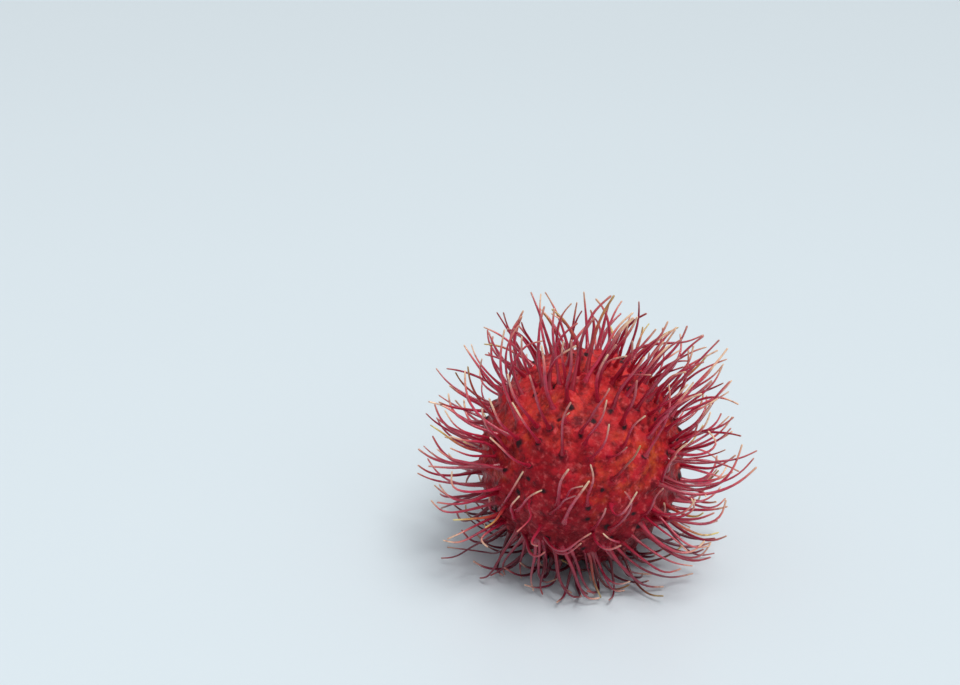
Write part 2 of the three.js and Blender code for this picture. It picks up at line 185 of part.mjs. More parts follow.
  [10.8, -16.8, 15.7, 11.8, -19, 15.9, 13.2, -21, 16.6, 14.7, -22.6, 17.6, 16.3, -23.7, 19, 17.4, -23.8, 21.1, 1.1, 0],
  [11.7, -15.1, 13.8, 13.1, -17.1, 14, 14.7, -18.7, 14.8, 16.5, -19.9, 15.9, 18, -20.6, 17.7, 17.1, -20.6, 19.5, 1, 0],
  [11, -15.3, 12.8, 12.8, -17.1, 13.5, 14.6, -18.7, 14.6, 16.6, -20.2, 15.3, 18.8, -21.4, 16.1, 21.1, -21.6, 17.3, 1.2, 0],
  [11.6, -13.4, 10.9, 14.6, -13.1, 11.5, 17.7, -13.3, 11, 20.8, -13.5, 10.7, 23.5, -13, 11.9, 24.4, -11.8, 14.6, 1.1, 0],
  [10.7, -17.1, 16.6, 12.9, -17.8, 15.1, 15.1, -18.4, 13.6, 17.5, -18.9, 12.4, 20.1, -19.2, 11.6, 22.4, -19, 12.2, 1, 1],
  [11.2, -16.2, 15.2, 12.7, -18, 14.2, 14.2, -19.7, 13.1, 15.8, -21.2, 11.9, 17.9, -22.4, 11.1, 20.3, -22.5, 11.5, 1, 0],
  [9.1, -18.2, 15.5, 10.1, -20.6, 15.5, 11.3, -22.8, 15.5, 12.6, -25, 15.4, 14.2, -27, 15.1, 15.9, -28.5, 13.9, 0.9, 0],
  [8.7, -18.2, 14.3, 10.4, -19.1, 12.2, 12.6, -19.8, 10.4, 15.1, -20.3, 9.1, 18, -20.4, 9.1, 20, -19.6, 10.9, 1.15, 0],
  [10.8, -12.2, 8.5, 12.7, -13.8, 7.2, 14.9, -15.1, 6.1, 17.4, -16.1, 5.6, 20.1, -16.4, 6.1, 21.6, -15.7, 8.3, 1.05, 0],
  [9.2, -16.6, 11.9, 11.1, -18.1, 10.5, 13.2, -19.5, 9.3, 15.6, -20.7, 8.3, 18.3, -21.4, 7.9, 20.9, -21.3, 8.7, 1.05, 0],
  [7.1, -18.1, 11.8, 8.9, -19.6, 10.7, 10.8, -20.9, 9.8, 12.9, -22.1, 8.9, 15.2, -22.9, 8.3, 17.7, -23.2, 8.1, 0.95, 0],
  [5.8, -17.7, 10, 7.3, -19.8, 9.5, 9, -21.8, 8.9, 10.9, -23.6, 8.2, 13.1, -25, 7.7, 15.5, -25.2, 8.7, 1, 0],
  [4.4, -18.3, 9.9, 7.1, -19.4, 7.3, 10.1, -19.3, 4.9, 13.2, -17.8, 3, 15.8, -15.2, 1.3, 19, -14.7, 1.8, 1, 0],
  [3.4, -18.7, 10, 4.9, -19.6, 7.5, 6.8, -19.9, 5.2, 8.9, -19.6, 3, 11, -18.2, 1, 13.7, -17.7, 0.8, 1.1, 0],
  [1, -18.3, 8.8, 1.9, -18.9, 6.9, 2.7, -19.5, 4.9, 3.7, -19.8, 3, 5, -19.6, 1.1, 6.8, -19.4, 1.2, 1, 0],
  [0.6, -18.9, 9.5, 1.4, -18.9, 6.9, 2.1, -19.1, 4.2, 3.3, -18.8, 1.7, 5.4, -18.4, 0.6, 7.7, -18.4, 1.8, 1, 1],
  [0.2, -18.5, 8.9, 0.8, -19.1, 7.1, 1, -20, 5.4, 1.2, -20.8, 3.6, 2, -21.2, 2, 2.6, -21, 0.6, 1, 1],
  [-4.5, -19.1, 10.6, -3.4, -20, 8.3, -2.3, -21, 6, -1.3, -22.1, 3.7, 0.2, -22.6, 1.4, 2.3, -22, 1.2, 1.1, 0],
  [-3.1, -19.2, 10.3, -2.3, -19.5, 8.3, -1.5, -19.8, 6.3, -0.7, -20.2, 4.2, 0.2, -20.5, 2.2, 1.5, -20, 0.6, 1, 0],
  [-5.8, -18.5, 10.4, -5.2, -19.8, 8.2, -4.9, -21.2, 6, -4.1, -22.5, 3.8, -2.5, -22.5, 1.8, -1, -20.7, 0.6, 1, 0],
  [-7.7, -17.8, 10.8, -7.1, -17.1, 8.8, -6.8, -16.5, 6.8, -6.7, -16, 4.6, -6.9, -15.5, 2.5, -7.6, -14.7, 0.6, 1, 0],
  [-8.9, -17.4, 11.4, -8.5, -17.7, 9.2, -8.6, -18, 7, -9.1, -18.2, 4.9, -9.5, -18.5, 2.7, -8.9, -18.7, 0.6, 1.05, 0],
  [-8.2, -17.7, 11.2, -7.8, -17.7, 8.5, -8, -17.7, 5.8, -8, -17.8, 3, -6.8, -16.5, 0.8, -4.7, -16.2, 1.6, 1, 0],
  [-10.3, -14.3, 9.1, -10.4, -14.3, 7.4, -10.6, -14.3, 5.7, -11, -14.3, 4, -11.1, -14.3, 2.3, -10.9, -14.3, 0.6, 0.85, 0],
  [-0.6, -19.2, 9.9, -0.1, -18.4, 8.1, 0.2, -17.6, 6.2, 0.4, -16.9, 4.3, 0.8, -16.1, 2.4, 1.2, -15.3, 0.6, 0.9, 0],
  [2.3, -19.5, 10.8, 3.8, -18.7, 7.9, 5.6, -17.4, 5.4, 7.4, -15.8, 3.1, 9.2, -13.3, 0.9, 12.1, -12.9, 0.6, 0.95, 0],];

// ---- body frame --------------------------------------------------------------
const rad = Math.PI / 180;
const AXIS = new THREE.Vector3(
  Math.sin(TURN * rad) * Math.cos(TILT_UP * rad),
  -Math.cos(TURN * rad) * Math.cos(TILT_UP * rad),
  Math.sin(TILT_UP * rad),
);
const SIDE = new THREE.Vector3().crossVectors(AXIS, new THREE.Vector3(0, 0, 1));
SIDE.normalize();
if (SIDE.x < 0) SIDE.negate();
const RISE = new THREE.Vector3().crossVectors(AXIS, SIDE);
if (RISE.z < 0) RISE.negate();
const SEMI = [STEM_SEMI, WIDTH_SEMI, HEIGHT_SEMI];
const FRAME = [AXIS, SIDE, RISE];

// Height of the centre above the lowest point, and the flat spot's centre.
const reach = new THREE.Vector3();
FRAME.forEach((e, i) => reach.addScaledVector(e, SEMI[i] * SEMI[i] * e.z));
const lowest = Math.sqrt(reach.z);
const CENTRE = new THREE.Vector3(
  (reach.x / lowest) * ((lowest - FLAT_CUT) / lowest),
  (reach.y / lowest) * ((lowest - FLAT_CUT) / lowest),
  lowest - FLAT_CUT,
);

const onBody = (q) => {
  const p = CENTRE.clone();
  FRAME.forEach((e, i) => p.addScaledVector(e, SEMI[i] * q[i]));
  return p;
};
// Body coordinates of a point: length 1 on the skin, more outside.
const inBody = (p) => {
  const d = p.clone().sub(CENTRE);
  return FRAME.map((e, i) => d.dot(e) / SEMI[i]);
};
const skinNormal = (q) => {
  const n = new THREE.Vector3();
  FRAME.forEach((e, i) => n.addScaledVector(e, q[i] / SEMI[i]));
  return n.normalize();
};

// ---- spinterns that fill the rest ---------------------------------------------
let seed = 20261;
const rnd = () => {
  seed = (seed * 1664525 + 1013904223) % 4294967296;
  return seed / 4294967296;
};

const spinterns = SET_SPINTERNS.map((row) => ({
  line: [0, 1, 2, 3, 4, 5].map((i) => new THREE.Vector3(...row.slice(3 * i, 3 * i + 3))),
  thick: row[18],
  pale: row[19],
}));

// A spintern leaves the skin nearly square to it and bends in one long curve,
// more so towards its tip, with the low ones bending upwards; it slides along
// the resting plane where it meets it.
function grow(root, normal, length, d) {
  const a = new THREE.Vector3(-normal.y, normal.x, 0.001).normalize();
  const b = new THREE.Vector3().crossVectors(normal, a);
  const lean = 0.08 + 0.4 * d[1];
  const turn = 2 * Math.PI * d[0];
  const dir = normal.clone()
    .addScaledVector(a, lean * Math.cos(turn))
    .addScaledVector(b, lean * Math.sin(turn))
    .normalize();
  const hookTurn = 2 * Math.PI * d[2];
  const hook = a.clone().multiplyScalar(Math.cos(hookTurn)).addScaledVector(b, Math.sin(hookTurn));
  hook.z += UPWARD * (1 - Math.max(0, normal.z));
  hook.normalize();
  const hookBy = 0.3 + 1.1 * d[3] * d[3];
  const lift = new THREE.Vector3(0.12, 0, 1);
  const p = root.clone();
  const line = [p.clone()];
  const steps = 10;
  for (let k = 0; k < steps; k++) {
    const t = (k + 0.5) / steps;
    p.addScaledVector(dir, length / steps);
    dir.addScaledVector(lift, 0.02 + 0.1 * t * t);
    dir.addScaledVector(hook, hookBy * (0.07 + 0.5 * t * t));
    if (p.z < LYING_Z) {
      p.z = LYING_Z;
      if (dir.z < 0.05) dir.z = 0.05;
    }
    const q = inBody(p);
    const out = Math.hypot(q[0], q[1], q[2]);
    const least = 1 + 0.05 * Math.min(1, (k + 1) / 4);
    if (out < least) {
      p.copy(onBody(q.map((c) => (c * least) / out)));
      if (p.z < LYING_Z) p.z = LYING_Z;
      dir.addScaledVector(skinNormal(q), 0.3);
    }
    dir.normalize();
    if (k % 2 === 1) line.push(p.clone());
  }
  return line;
}

for (let i = 0; i < FILL_COUNT; i++) {
  const d = Array.from({ length: 10 }, rnd);
  const z = 1 - (2 * i + 1) / FILL_COUNT;
  const r = Math.sqrt(1 - z * z);
  const turn = i * 2.399963229728653;
  let q = [
    z + 0.1 * (d[0] - 0.5),
    r * Math.cos(turn) + 0.1 * (d[1] - 0.5),
    r * Math.sin(turn) + 0.1 * (d[2] - 0.5),
  ];
  const size = Math.hypot(q[0], q[1], q[2]);
  q = q.map((c) => c / size);
  const root = onBody(q);
  const normal = skinNormal(q);
  const facing = normal.dot(new THREE.Vector3(...SET_SIDE));
  if (facing > SET_BARE || q[0] < SCAR_CLEAR) continue;
  if (root.z < 1.7 && Math.hypot(root.x, root.y) < 7.5) continue;
  const spacing = facing > SET_EDGE ? SET_SPACING : FILL_SPACING;
  if (spinterns.some((s) => s.line[0].distanceTo(root) < spacing)) continue;
  const top = Math.max(0, normal.z);
  const length = (FILL_LENGTH + FILL_LENGTH_SPREAD * (d[3] - 0.5)) * (1 - FILL_TOP_SHORTER * top * top);
  spinterns.push({
    line: grow(root, normal, length, d.slice(4)),
    thick: 0.85 + 0.35 * d[2],
    pale: d[9] < 0.12 ? 1 : 0,
  });
}

// ---- solids ---------------------------------------------------------------------
const wasm = await Module();
wasm.setup();

const solid = (geometry) => {
  const bare = geometry.clone();
  bare.deleteAttribute("normal");
  bare.deleteAttribute("uv");
  const g = mergeVertices(bare, 1e-4);
  return new wasm.Manifold(
    new wasm.Mesh({
      numProp: 3,
      vertProperties: new Float32Array(g.attributes.position.array),
      triVerts: new Uint32Array(g.index.array),
    }),
  );
};

// Places a shape built about the origin, its +Y along the given direction.
const place = (geometry, at, along) => {
  const turn = new THREE.Quaternion().setFromUnitVectors(new THREE.Vector3(0, 1, 0), along);
  return geometry.applyMatrix4(new THREE.Matrix4().compose(at, turn, new THREE.Vector3(1, 1, 1)));
};

const bodyGeometry = new THREE.IcosahedronGeometry(1, BODY_DETAIL);
{
  const p = bodyGeometry.attributes.position;
  for (let i = 0; i < p.count; i++) {
    const at = onBody([p.getX(i), p.getY(i), p.getZ(i)]);
    p.setXYZ(i, at.x, at.y, at.z);
  }
  // the three body axes may make a left-handed frame: keep the faces outward
  const handed = new THREE.Vector3().crossVectors(AXIS, SIDE).dot(RISE);
  if (handed < 0)
    for (let i = 0; i < p.count; i += 3) {
      const b = new THREE.Vector3().fromBufferAttribute(p, i + 1);
      const c = new THREE.Vector3().fromBufferAttribute(p, i + 2);
      p.setXYZ(i + 1, c.x, c.y, c.z);
      p.setXYZ(i + 2, b.x, b.y, b.z);
    }
}

// A spintern: a three-sided cone, bent along its centre line and swollen at the root.
const thickness = (t) =>
  t < 0.5
    ? ROOT_R + (MID_R - ROOT_R) * Math.sqrt(t / 0.5)
    : MID_R + (TIP_R - MID_R) * ((t - 0.5) / 0.5);

function spinternSolid({ line, thick }) {
  const into = line[0].clone().sub(skinNormal(inBody(line[0])).multiplyScalar(ROOT_DEPTH));
  const curve = new THREE.CatmullRomCurve3([into, ...line], false, "centripetal");
  const bend = curve.getTangentAt(0.15).angleTo(curve.getTangentAt(0.92)) / rad;
  const steps = bend > MUCH_BEND ? SPINTERN_STEPS : SPINTERN_STEPS - 1;
  const frames = curve.computeFrenetFrames(steps, false);
  const g = new THREE.CylinderGeometry(0, 1, 1, SPINTERN_SIDES, steps);
  const p = g.attributes.position;
  for (let i = 0; i < p.count; i++) {
    const k = Math.round((p.getY(i) + 0.5) * steps);
    const t = k / steps;
    const at = curve.getPointAt(t);
    const angle = Math.atan2(p.getZ(i), p.getX(i));
    const onAxis = Math.hypot(p.getX(i), p.getZ(i)) < 1e-6;
    const r = onAxis ? 0 : 1.25 * thick * thickness(t);
    at.addScaledVector(frames.binormals[k], r * Math.cos(angle));
    at.addScaledVector(frames.normals[k], r * Math.sin(angle));
    if (at.z < FLOOR_GAP + 0.004 * k) at.z = FLOOR_GAP + 0.004 * k;
    p.setXYZ(i, at.x, at.y, at.z);
  }
  return solid(g);
}

// The stalk scar: a low round rim with a shallow pit.
const scarAxis = AXIS.clone().negate();
const scarAt = onBody([-1, 0, 0]);
const scarGeometry = place(
  new THREE.LatheGeometry(
    [
      new THREE.Vector2(0, -2.0),
      new THREE.Vector2(SCAR_R, -2.0),
      new THREE.Vector2(SCAR_R, SCAR_RISE * 0.6),
      new THREE.Vector2(SCAR_R * 0.88, SCAR_RISE),
      new THREE.Vector2(SCAR_PIT_R * 1.1, SCAR_RISE * 0.9),
      new THREE.Vector2(SCAR_PIT_R * 0.6, SCAR_RISE - SCAR_PIT),
      new THREE.Vector2(0, SCAR_RISE - SCAR_PIT),
    ],
    14,
  ),
  scarAt,
  scarAxis,
);

const below = new THREE.BoxGeometry(200, 200, 20);
below.translate(0, 0, -10);

const parts = [solid(bodyGeometry), solid(scarGeometry), ...spinterns.map(spinternSolid)];
const whole = wasm.Manifold.union(parts).subtract(solid(below)).simplify(0.01);
const pieces = whole.decompose();
const fruit = pieces.reduce((a, b) => (a.volume() > b.volume() ? a : b));

const mesh = fruit.getMesh();
const geometry = new THREE.BufferGeometry();
geometry.setAttribute("position", new THREE.BufferAttribute(new Float32Array(mesh.vertProperties), 3));
geometry.setIndex(new THREE.BufferAttribute(new Uint32Array(mesh.triVerts), 1));
geometry.computeVertexNormals();

const rambutan = new THREE.Mesh(
  geometry,
  new THREE.MeshStandardMaterial({ color: 0xa83a42, roughness: 0.5, metalness: 0 }),
);
rambutan.name = "rambutan";

const group = new THREE.Group();
group.add(rambutan);
export default group;
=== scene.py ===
import math
import bpy
import numpy as np
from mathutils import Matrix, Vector


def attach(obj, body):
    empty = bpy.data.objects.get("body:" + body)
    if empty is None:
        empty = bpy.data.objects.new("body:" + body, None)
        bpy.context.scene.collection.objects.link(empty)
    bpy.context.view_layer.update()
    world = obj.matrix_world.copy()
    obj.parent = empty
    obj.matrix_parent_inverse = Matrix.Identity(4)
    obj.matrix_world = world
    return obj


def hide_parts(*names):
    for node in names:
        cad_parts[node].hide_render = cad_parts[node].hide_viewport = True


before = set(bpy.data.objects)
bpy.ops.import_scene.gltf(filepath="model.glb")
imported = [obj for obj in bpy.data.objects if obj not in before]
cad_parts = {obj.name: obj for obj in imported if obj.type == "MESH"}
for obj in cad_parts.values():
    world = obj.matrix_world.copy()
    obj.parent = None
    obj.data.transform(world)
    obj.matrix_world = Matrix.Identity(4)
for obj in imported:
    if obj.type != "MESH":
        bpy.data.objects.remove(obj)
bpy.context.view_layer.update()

# Rambutan: lengths below are in millimetres, as in the CAD part, and become metres in the meshes.
MM = 0.001
STEM_SEMI, WIDTH_SEMI, HEIGHT_SEMI = 21.0, 17.4, 18.3
TILT_UP, TURN, FLAT_CUT = 23.0, -5.4, 0.35
ROOT_R, MID_R, TIP_R, ROOT_DEPTH = 0.38, 0.25, 0.16, 0.9
LYING_Z = 0.6
FILL_COUNT, FILL_SPACING, FILL_LENGTH, FILL_LENGTH_SPREAD = 560, 2.45, 12.0, 4.2
SET_SIDE, SET_BARE, SET_EDGE, SET_SPACING, SCAR_CLEAR = np.array([-0.063, -0.895, 0.442]), 0.74, 0.56, 4.4, -0.984
SCAR_R, SCAR_PIT_R, SCAR_RISE, SCAR_PIT = 2.7, 1.7, 0.7, 0.5

# Six points along each centre line, root first, then thickness and whether the tip is yellow-green.
SET_SPINTERNS = np.array([
  [-4.4, -20.4, 27.1, -4.5, -22.1, 29.5, -4.7, -23.7, 32, -4.9, -25.1, 34.6, -4.8, -26.2, 37.4, -3.6, -26.6, 39.9, 1, 0],
  [-0.1, -21.1, 26.7, 0.5, -23.3, 28.6, 1.1, -25.4, 30.6, 1.6, -27.5, 32.7, 2.1, -29.2, 35, 2.4, -30.2, 37.7, 0.9, 0],
  [-0.9, -20, 28.9, -0.5, -21.7, 31, 0.1, -23.4, 33.1, 0.9, -25, 35.3, 1.7, -26.3, 37.6, 2.2, -26.7, 40.3, 0.9, 0],
  [-1.5, -18.8, 30.5, -1, -20.3, 32.6, -0.2, -21.8, 34.6, 0.6, -23.1, 36.8, 1.6, -24.2, 38.9, 2.6, -24.5, 41.4, 0.9, 0],
  [5.6, -16.5, 30.9, 5.7, -18.1, 33, 6, -19.6, 35, 6.6, -21, 37.1, 7.1, -22.1, 39.3, 7.3, -22.3, 41.8, 1.2, 0],
  [3.6, -21.5, 23.4, 4.4, -23.5, 25.1, 5, -25.3, 27, 5.6, -27, 29.1, 6.6, -28.5, 31.1, 7.5, -29.2, 33.5, 1, 1],
  [9, -18, 25.1, 10.5, -17, 27.4, 11.9, -16.1, 29.6, 13.3, -15.2, 31.9, 13.8, -14.1, 34.4, 13.4, -13, 37, 1, 0],
  [5.3, -19, 28, 5.8, -20.8, 29.8, 6.1, -22.5, 31.7, 6.4, -24.1, 33.7, 6.9, -25.5, 35.7, 8.3, -26.5, 37.5, 0.9, 0],
  [-3.8, -17.3, 31.6, -4, -18.2, 32.4, -4.1, -19.2, 33.2, -4.1, -20, 34, -3.9, -20.8, 34.8, -3.4, -21.6, 35.7, 0.7, 0],
  [2.9, -20.4, 27.1, 3.3, -22, 27.9, 3.8, -23.4, 28.8, 4.3, -24.8, 29.7, 4.9, -26.1, 30.8, 5.7, -27, 32.1, 0.8, 0],
  [-5.1, -21.7, 18.7, -5.2, -23.5, 20.6, -5.2, -25.2, 22.7, -5.1, -26.8, 24.8, -4.8, -28.2, 27, -3.8, -29.1, 29.2, 1.2, 0],
  [-6.2, -21.1, 16.8, -5.8, -23.5, 18.7, -5.4, -25.9, 20.5, -4.9, -28.2, 22.5, -4.3, -30.4, 24.4, -2.8, -32.5, 26.2, 0.9, 0],
  [-4.6, -21.9, 19.7, -4.2, -24.3, 21.3, -3.9, -26.6, 23.1, -3.6, -28.8, 25, -3.1, -31, 26.8, -1.8, -33, 28.2, 0.8, 0],
  [-4, -21.3, 15, -3.8, -22.8, 17.3, -3.4, -24.3, 19.5, -2.6, -25.7, 21.7, -1.5, -26.9, 23.9, -0.3, -27.4, 26.2, 1.2, 0],
  [-0.3, -22.4, 19, -0.4, -24.3, 21.2, -0.3, -26.1, 23.4, -0.1, -27.9, 25.6, 0.1, -29.4, 28, -0.4, -30.1, 30.6, 0.9, 0],
  [0.7, -21.2, 13.9, 0.9, -23.4, 15.6, 1.2, -25.6, 17.3, 1.5, -27.8, 19.1, 1.8, -29.8, 21, 2, -31.3, 23.4, 1, 0],
  [3.7, -21.8, 19.2, 3.6, -24.7, 19.5, 4.2, -27.5, 19.9, 5.1, -29.6, 21.8, 6, -31.3, 24, 7, -32.1, 26.7, 0.9, 0],
  [3.3, -20.7, 13.8, 4.4, -22.9, 15.4, 5.5, -24.8, 17.5, 6.2, -26.5, 19.8, 6.6, -27.7, 22.5, 5.2, -28.4, 24.8, 0.95, 0],
  [9, -18.1, 14.9, 9.7, -19.9, 16.3, 10.2, -21.6, 17.9, 10.6, -23, 19.8, 10.9, -24.3, 21.8, 12, -25, 23.7, 0.95, 0],
  [12.2, -12.4, 10.8, 12.6, -13.3, 11.7, 13, -14.2, 12.7, 13.4, -15, 13.7, 13.4, -15.6, 15, 13.1, -15.8, 16.2, 0.9, 0],
  [-7, -18.4, 11.2, -6.4, -21.1, 11, -5.1, -23.6, 11.2, -3.4, -25.3, 12.4, -1.9, -26.4, 14.6, 0.2, -26.9, 16.4, 0.95, 0],
  [-6.1, -17.6, 9.4, -5.6, -19.6, 9.4, -4.8, -21.5, 9.6, -3.7, -23.1, 10.3, -2.6, -24.1, 11.7, -1.2, -24.5, 13.2, 0.9, 0],
  [0.7, -21.1, 13.6, 0.9, -23.8, 14, 1.2, -26.4, 14.4, 1.8, -29, 14.9, 2.9, -31.3, 15.7, 4.6, -32.5, 17.3, 1, 0],
  [6.2, -17.1, 9.5, 5.5, -18.6, 10.2, 4.8, -20, 11, 4.1, -21.3, 11.9, 3.3, -22.4, 13, 2.4, -23.1, 14.3, 0.8, 0],
  [-7.8, -19.5, 14, -8.2, -21.9, 14.7, -8.6, -24.4, 15.2, -9.1, -26.9, 15.7, -9.7, -29.5, 15.8, -8.8, -31.4, 16.5, 1, 0],
  [-10.5, -14.7, 9.7, -10.2, -16.5, 9.5, -10, -18.2, 9.2, -9.6, -19.9, 8.8, -8.4, -21.3, 8.8, -7.1, -21.6, 9.9, 1, 0],
  [-9.8, -19.3, 18.7, -9.9, -22.1, 19.1, -9.9, -24.9, 19.5, -9.8, -27.6, 19.8, -10.7, -30.3, 20, -12.1, -32.6, 19.7, 0.8, 0],
  [-12.1, -15.4, 13, -12.5, -16.9, 14.4, -12.7, -18.3, 15.8, -12.8, -19.6, 17.4, -12.5, -20.9, 19, -11.6, -21.8, 20.6, 0.9, 0],
  [-11.9, -16.5, 14.9, -11.4, -18.1, 16.4, -10.8, -19.6, 18, -10.1, -21.1, 19.6, -9.3, -22.4, 21.2, -7.9, -23.3, 22.5, 0.95, 0],
  [-14.7, -8.9, 10.8, -15.5, -9.8, 11.3, -16.1, -10.6, 12.1, -16.4, -11.2, 13.1, -16.5, -11.6, 14.3, -16.5, -11.7, 15.5, 0.9, 0],
  [-14.6, -10.2, 11.6, -14.4, -12.9, 13.7, -13.9, -15.3, 16, -13.1, -17.3, 18.6, -12, -18.9, 21.3, -10.8, -20, 24.2, 1, 0],
  [-14, -9.3, 9.8, -15.1, -10.5, 9.5, -16, -11.2, 9.4, -16.7, -11.7, 9.3, -17.1, -11.8, 9.3, -17.4, -11.6, 10.4, 0.8, 0],
  [-13.3, -15, 15.3, -14, -16.8, 15.7, -14.6, -18.7, 15.9, -15.1, -20.5, 15.9, -15.9, -22.4, 15.8, -17.2, -23.7, 15.6, 1, 1],
  [-13.4, -11.6, 10.5, -14.5, -13.1, 10.6, -15.7, -14.6, 10.6, -17, -16, 10.4, -18, -17.4, 9.9, -16.7, -18.3, 9, 1, 0],
  [-11.2, -15.1, 11.1, -12.6, -15.2, 8.8, -14, -15.5, 6.5, -15.3, -16, 4.2, -16.6, -16.1, 2, -18.1, -14.3, 0.6, 1.1, 0],
  [-10.1, -14.7, 9.3, -11.2, -14.1, 7.7, -12.2, -13.6, 6, -13.2, -13.2, 4.3, -14.2, -13.1, 2.5, -13.7, -13.3, 0.6, 1, 0],
  [-9, -12, 6, -10.3, -12.9, 4.9, -11.6, -13.5, 3.8, -13.2, -13.7, 2.7, -14.7, -13.6, 1.6, -16.3, -13.5, 0.6, 1, 0],
  [-11, -12.4, 8.2, -13.2, -11.2, 5, -15.1, -9, 2.5, -16.7, -5.5, 0.7, -20.2, -5.3, 1.1, -24, -5.3, 1.7, 0.9, 0],
  [-13, -11, 9.5, -15.3, -10.7, 7.4, -17.7, -10.1, 5.5, -20, -9.1, 3.6, -22.4, -8.8, 1.6, -25, -8.2, 1.1, 0.9, 0],
  [-13.7, -11, 10.7, -15.7, -12.8, 10.4, -17.6, -14.4, 10, -19.7, -16, 9.5, -22, -17.2, 9.1, -24.4, -17.4, 9.8, 1, 0],
  [-13.8, -13.2, 13.2, -15.2, -14.9, 13.4, -16.8, -16.6, 13.8, -18.5, -18, 14.3, -20.4, -19.2, 14.8, -22.6, -19.8, 15, 1, 1],
  [-14.6, -12.8, 15.1, -17.1, -13.2, 14.2, -19.6, -13.4, 13.6, -22.2, -13.6, 13.1, -24.8, -13.5, 13.3, -26.5, -12.8, 15.1, 1, 0],
  [-14.6, -13.6, 17.2, -16.4, -15.8, 17.6, -18.3, -17.8, 18, -20.3, -19.8, 18.2, -22.6, -21.3, 18.7, -25.2, -22, 19.5, 1, 0],
  [-14.2, -14.6, 18.7, -16.2, -16.4, 18.8, -18.4, -17.8, 19.3, -20.8, -19, 19.9, -22.9, -19.6, 21.2, -22.7, -19.1, 23.8, 1, 0],
  [-14.2, -10.5, 11.2, -16, -12.1, 11.2, -17.8, -13.6, 11.1, -19.6, -15, 10.9, -21.6, -16.2, 10.4, -23.7, -17, 9.8, 0.95, 0],
  [-13.8, -14.9, 21.9, -16.1, -15.6, 23, -18.4, -16.3, 23.7, -20.8, -16.8, 24.4, -23.3, -17.1, 25.3, -25.3, -16.8, 26.8, 1, 0],
  [-14.2, -14.2, 22.5, -16.6, -15, 22.6, -19.1, -15.6, 22.9, -21.7, -16.2, 23, -24.2, -16.5, 23.2, -26.8, -16.6, 23.5, 1.1, 0],
  [-15.2, -11.5, 24, -16.2, -13.3, 25.7, -17.5, -15.1, 27.2, -19.1, -16.9, 28.3, -20.9, -18.7, 29.3, -23, -19.5, 30.5, 1, 0],
  [-12.7, -13.6, 27.5, -15.3, -13.1, 28.9, -17.8, -12.4, 30.5, -19.7, -11.5, 32.6, -20.6, -10.4, 35.3, -20.6, -9.3, 37.9, 1.1, 0],
  [-11.5, -15.2, 27.7, -12.6, -17, 29.5, -13.8, -18.8, 31.4, -14.9, -20.4, 33.4, -15.6, -21.6, 35.9, -16.6, -22, 38.5, 1.1, 0],
  [-14.7, -10.8, 26.3, -17.2, -10.4, 27.3, -19.8, -10, 28.1, -22, -9.4, 29.7, -24.2, -8.8, 31.1, -26.9, -8.5, 31.7, 1.05, 0],
  [-16, -9.3, 23.7, -17.6, -10.6, 25.2, -19.5, -11.7, 26.6, -21.3, -12.7, 28.1, -23.4, -13.4, 29.3, -25.3, -13.4, 30.9, 1, 0],
  [-15.3, -10.2, 25.1, -16.9, -12, 26.7, -18.8, -13.9, 28, -20.7, -15.6, 29.4, -22.6, -16.8, 31.4, -23.9, -16.9, 34, 0.95, 0],
  [-16, -10.1, 22.6, -18.2, -11, 23.6, -20.4, -11.8, 24.5, -22.5, -12.1, 25.9, -24.4, -12.2, 27.6, -26.5, -12, 29, 1, 1],
  [-15.2, -12.1, 23, -16.4, -14.1, 24.1, -17.8, -16.1, 25.2, -19.3, -18.1, 26.1, -20.9, -19.7, 27.4, -23, -20.5, 28.8, 0.9, 0],
  [-11.2, -13.6, 29.7, -12.7, -12.4, 32.5, -14, -11.2, 35.4, -14.6, -10, 38.4, -14.5, -8.7, 41.6, -13.9, -7.4, 44.6, 1.1, 0],
  [-11.3, -9.3, 32, -12.8, -9, 34.5, -13.6, -8.6, 37.2, -13.8, -8, 40, -13.1, -7.3, 42.8, -11.5, -6.6, 45, 1, 0],
  [-10.6, -9.1, 32.7, -11.9, -8.1, 35.1, -12.6, -6.9, 37.8, -13, -5.8, 40.6, -12.6, -4.6, 43.4, -11, -3.7, 45.5, 1.1, 0],
  [-12.6, -7.9, 31, -13.3, -8.1, 33.8, -13.1, -8.2, 36.8, -12, -8.1, 39.5, -10.3, -7.9, 41.8, -7.5, -8, 42.7, 0.95, 0],
  [-8.4, -8.7, 34.3, -9.2, -10.4, 36.5, -9.9, -12, 38.7, -10.7, -13.4, 41, -11.3, -14.5, 43.6, -11.3, -14.7, 46.4, 1, 0],
  [-7.1, -10.1, 34.6, -7.8, -9.1, 37.2, -8.3, -8, 39.8, -8.2, -6.9, 42.5, -7.9, -5.8, 45.2, -7.1, -4.7, 47.7, 1.25, 0],
  [-4.6, -10.9, 35.3, -4.9, -10.6, 38.1, -5.3, -10.3, 40.8, -5.9, -9.9, 43.5, -6, -9.2, 46.2, -5.6, -8.4, 48.8, 1.1, 0],
  [-6.4, -11.4, 34.5, -6.3, -10.4, 37, -5.9, -9.3, 39.5, -5.3, -8.3, 42, -3.8, -7.4, 44.1, -1.6, -6.8, 45.5, 1.1, 0],
  [-6.5, -7.9, 35.5, -6.4, -9.7, 37.5, -6, -11.4, 39.6, -5.4, -13.1, 41.7, -4.3, -14.7, 43.5, -2.3, -15.8, 45.1, 0.9, 0],
  [-3.4, -10.8, 35.6, -3.8, -12.7, 37.7, -4.1, -14.5, 39.8, -4.5, -16.2, 42, -4.8, -17.6, 44.4, -4.5, -18.3, 46.9, 1, 0],
  [-2.8, -12.6, 35, -2.1, -11.3, 38.4, -1.4, -9.9, 41.7, -0.4, -8.5, 45, 1.2, -7.2, 48.1, 3.9, -6.3, 50.3, 1.2, 0],
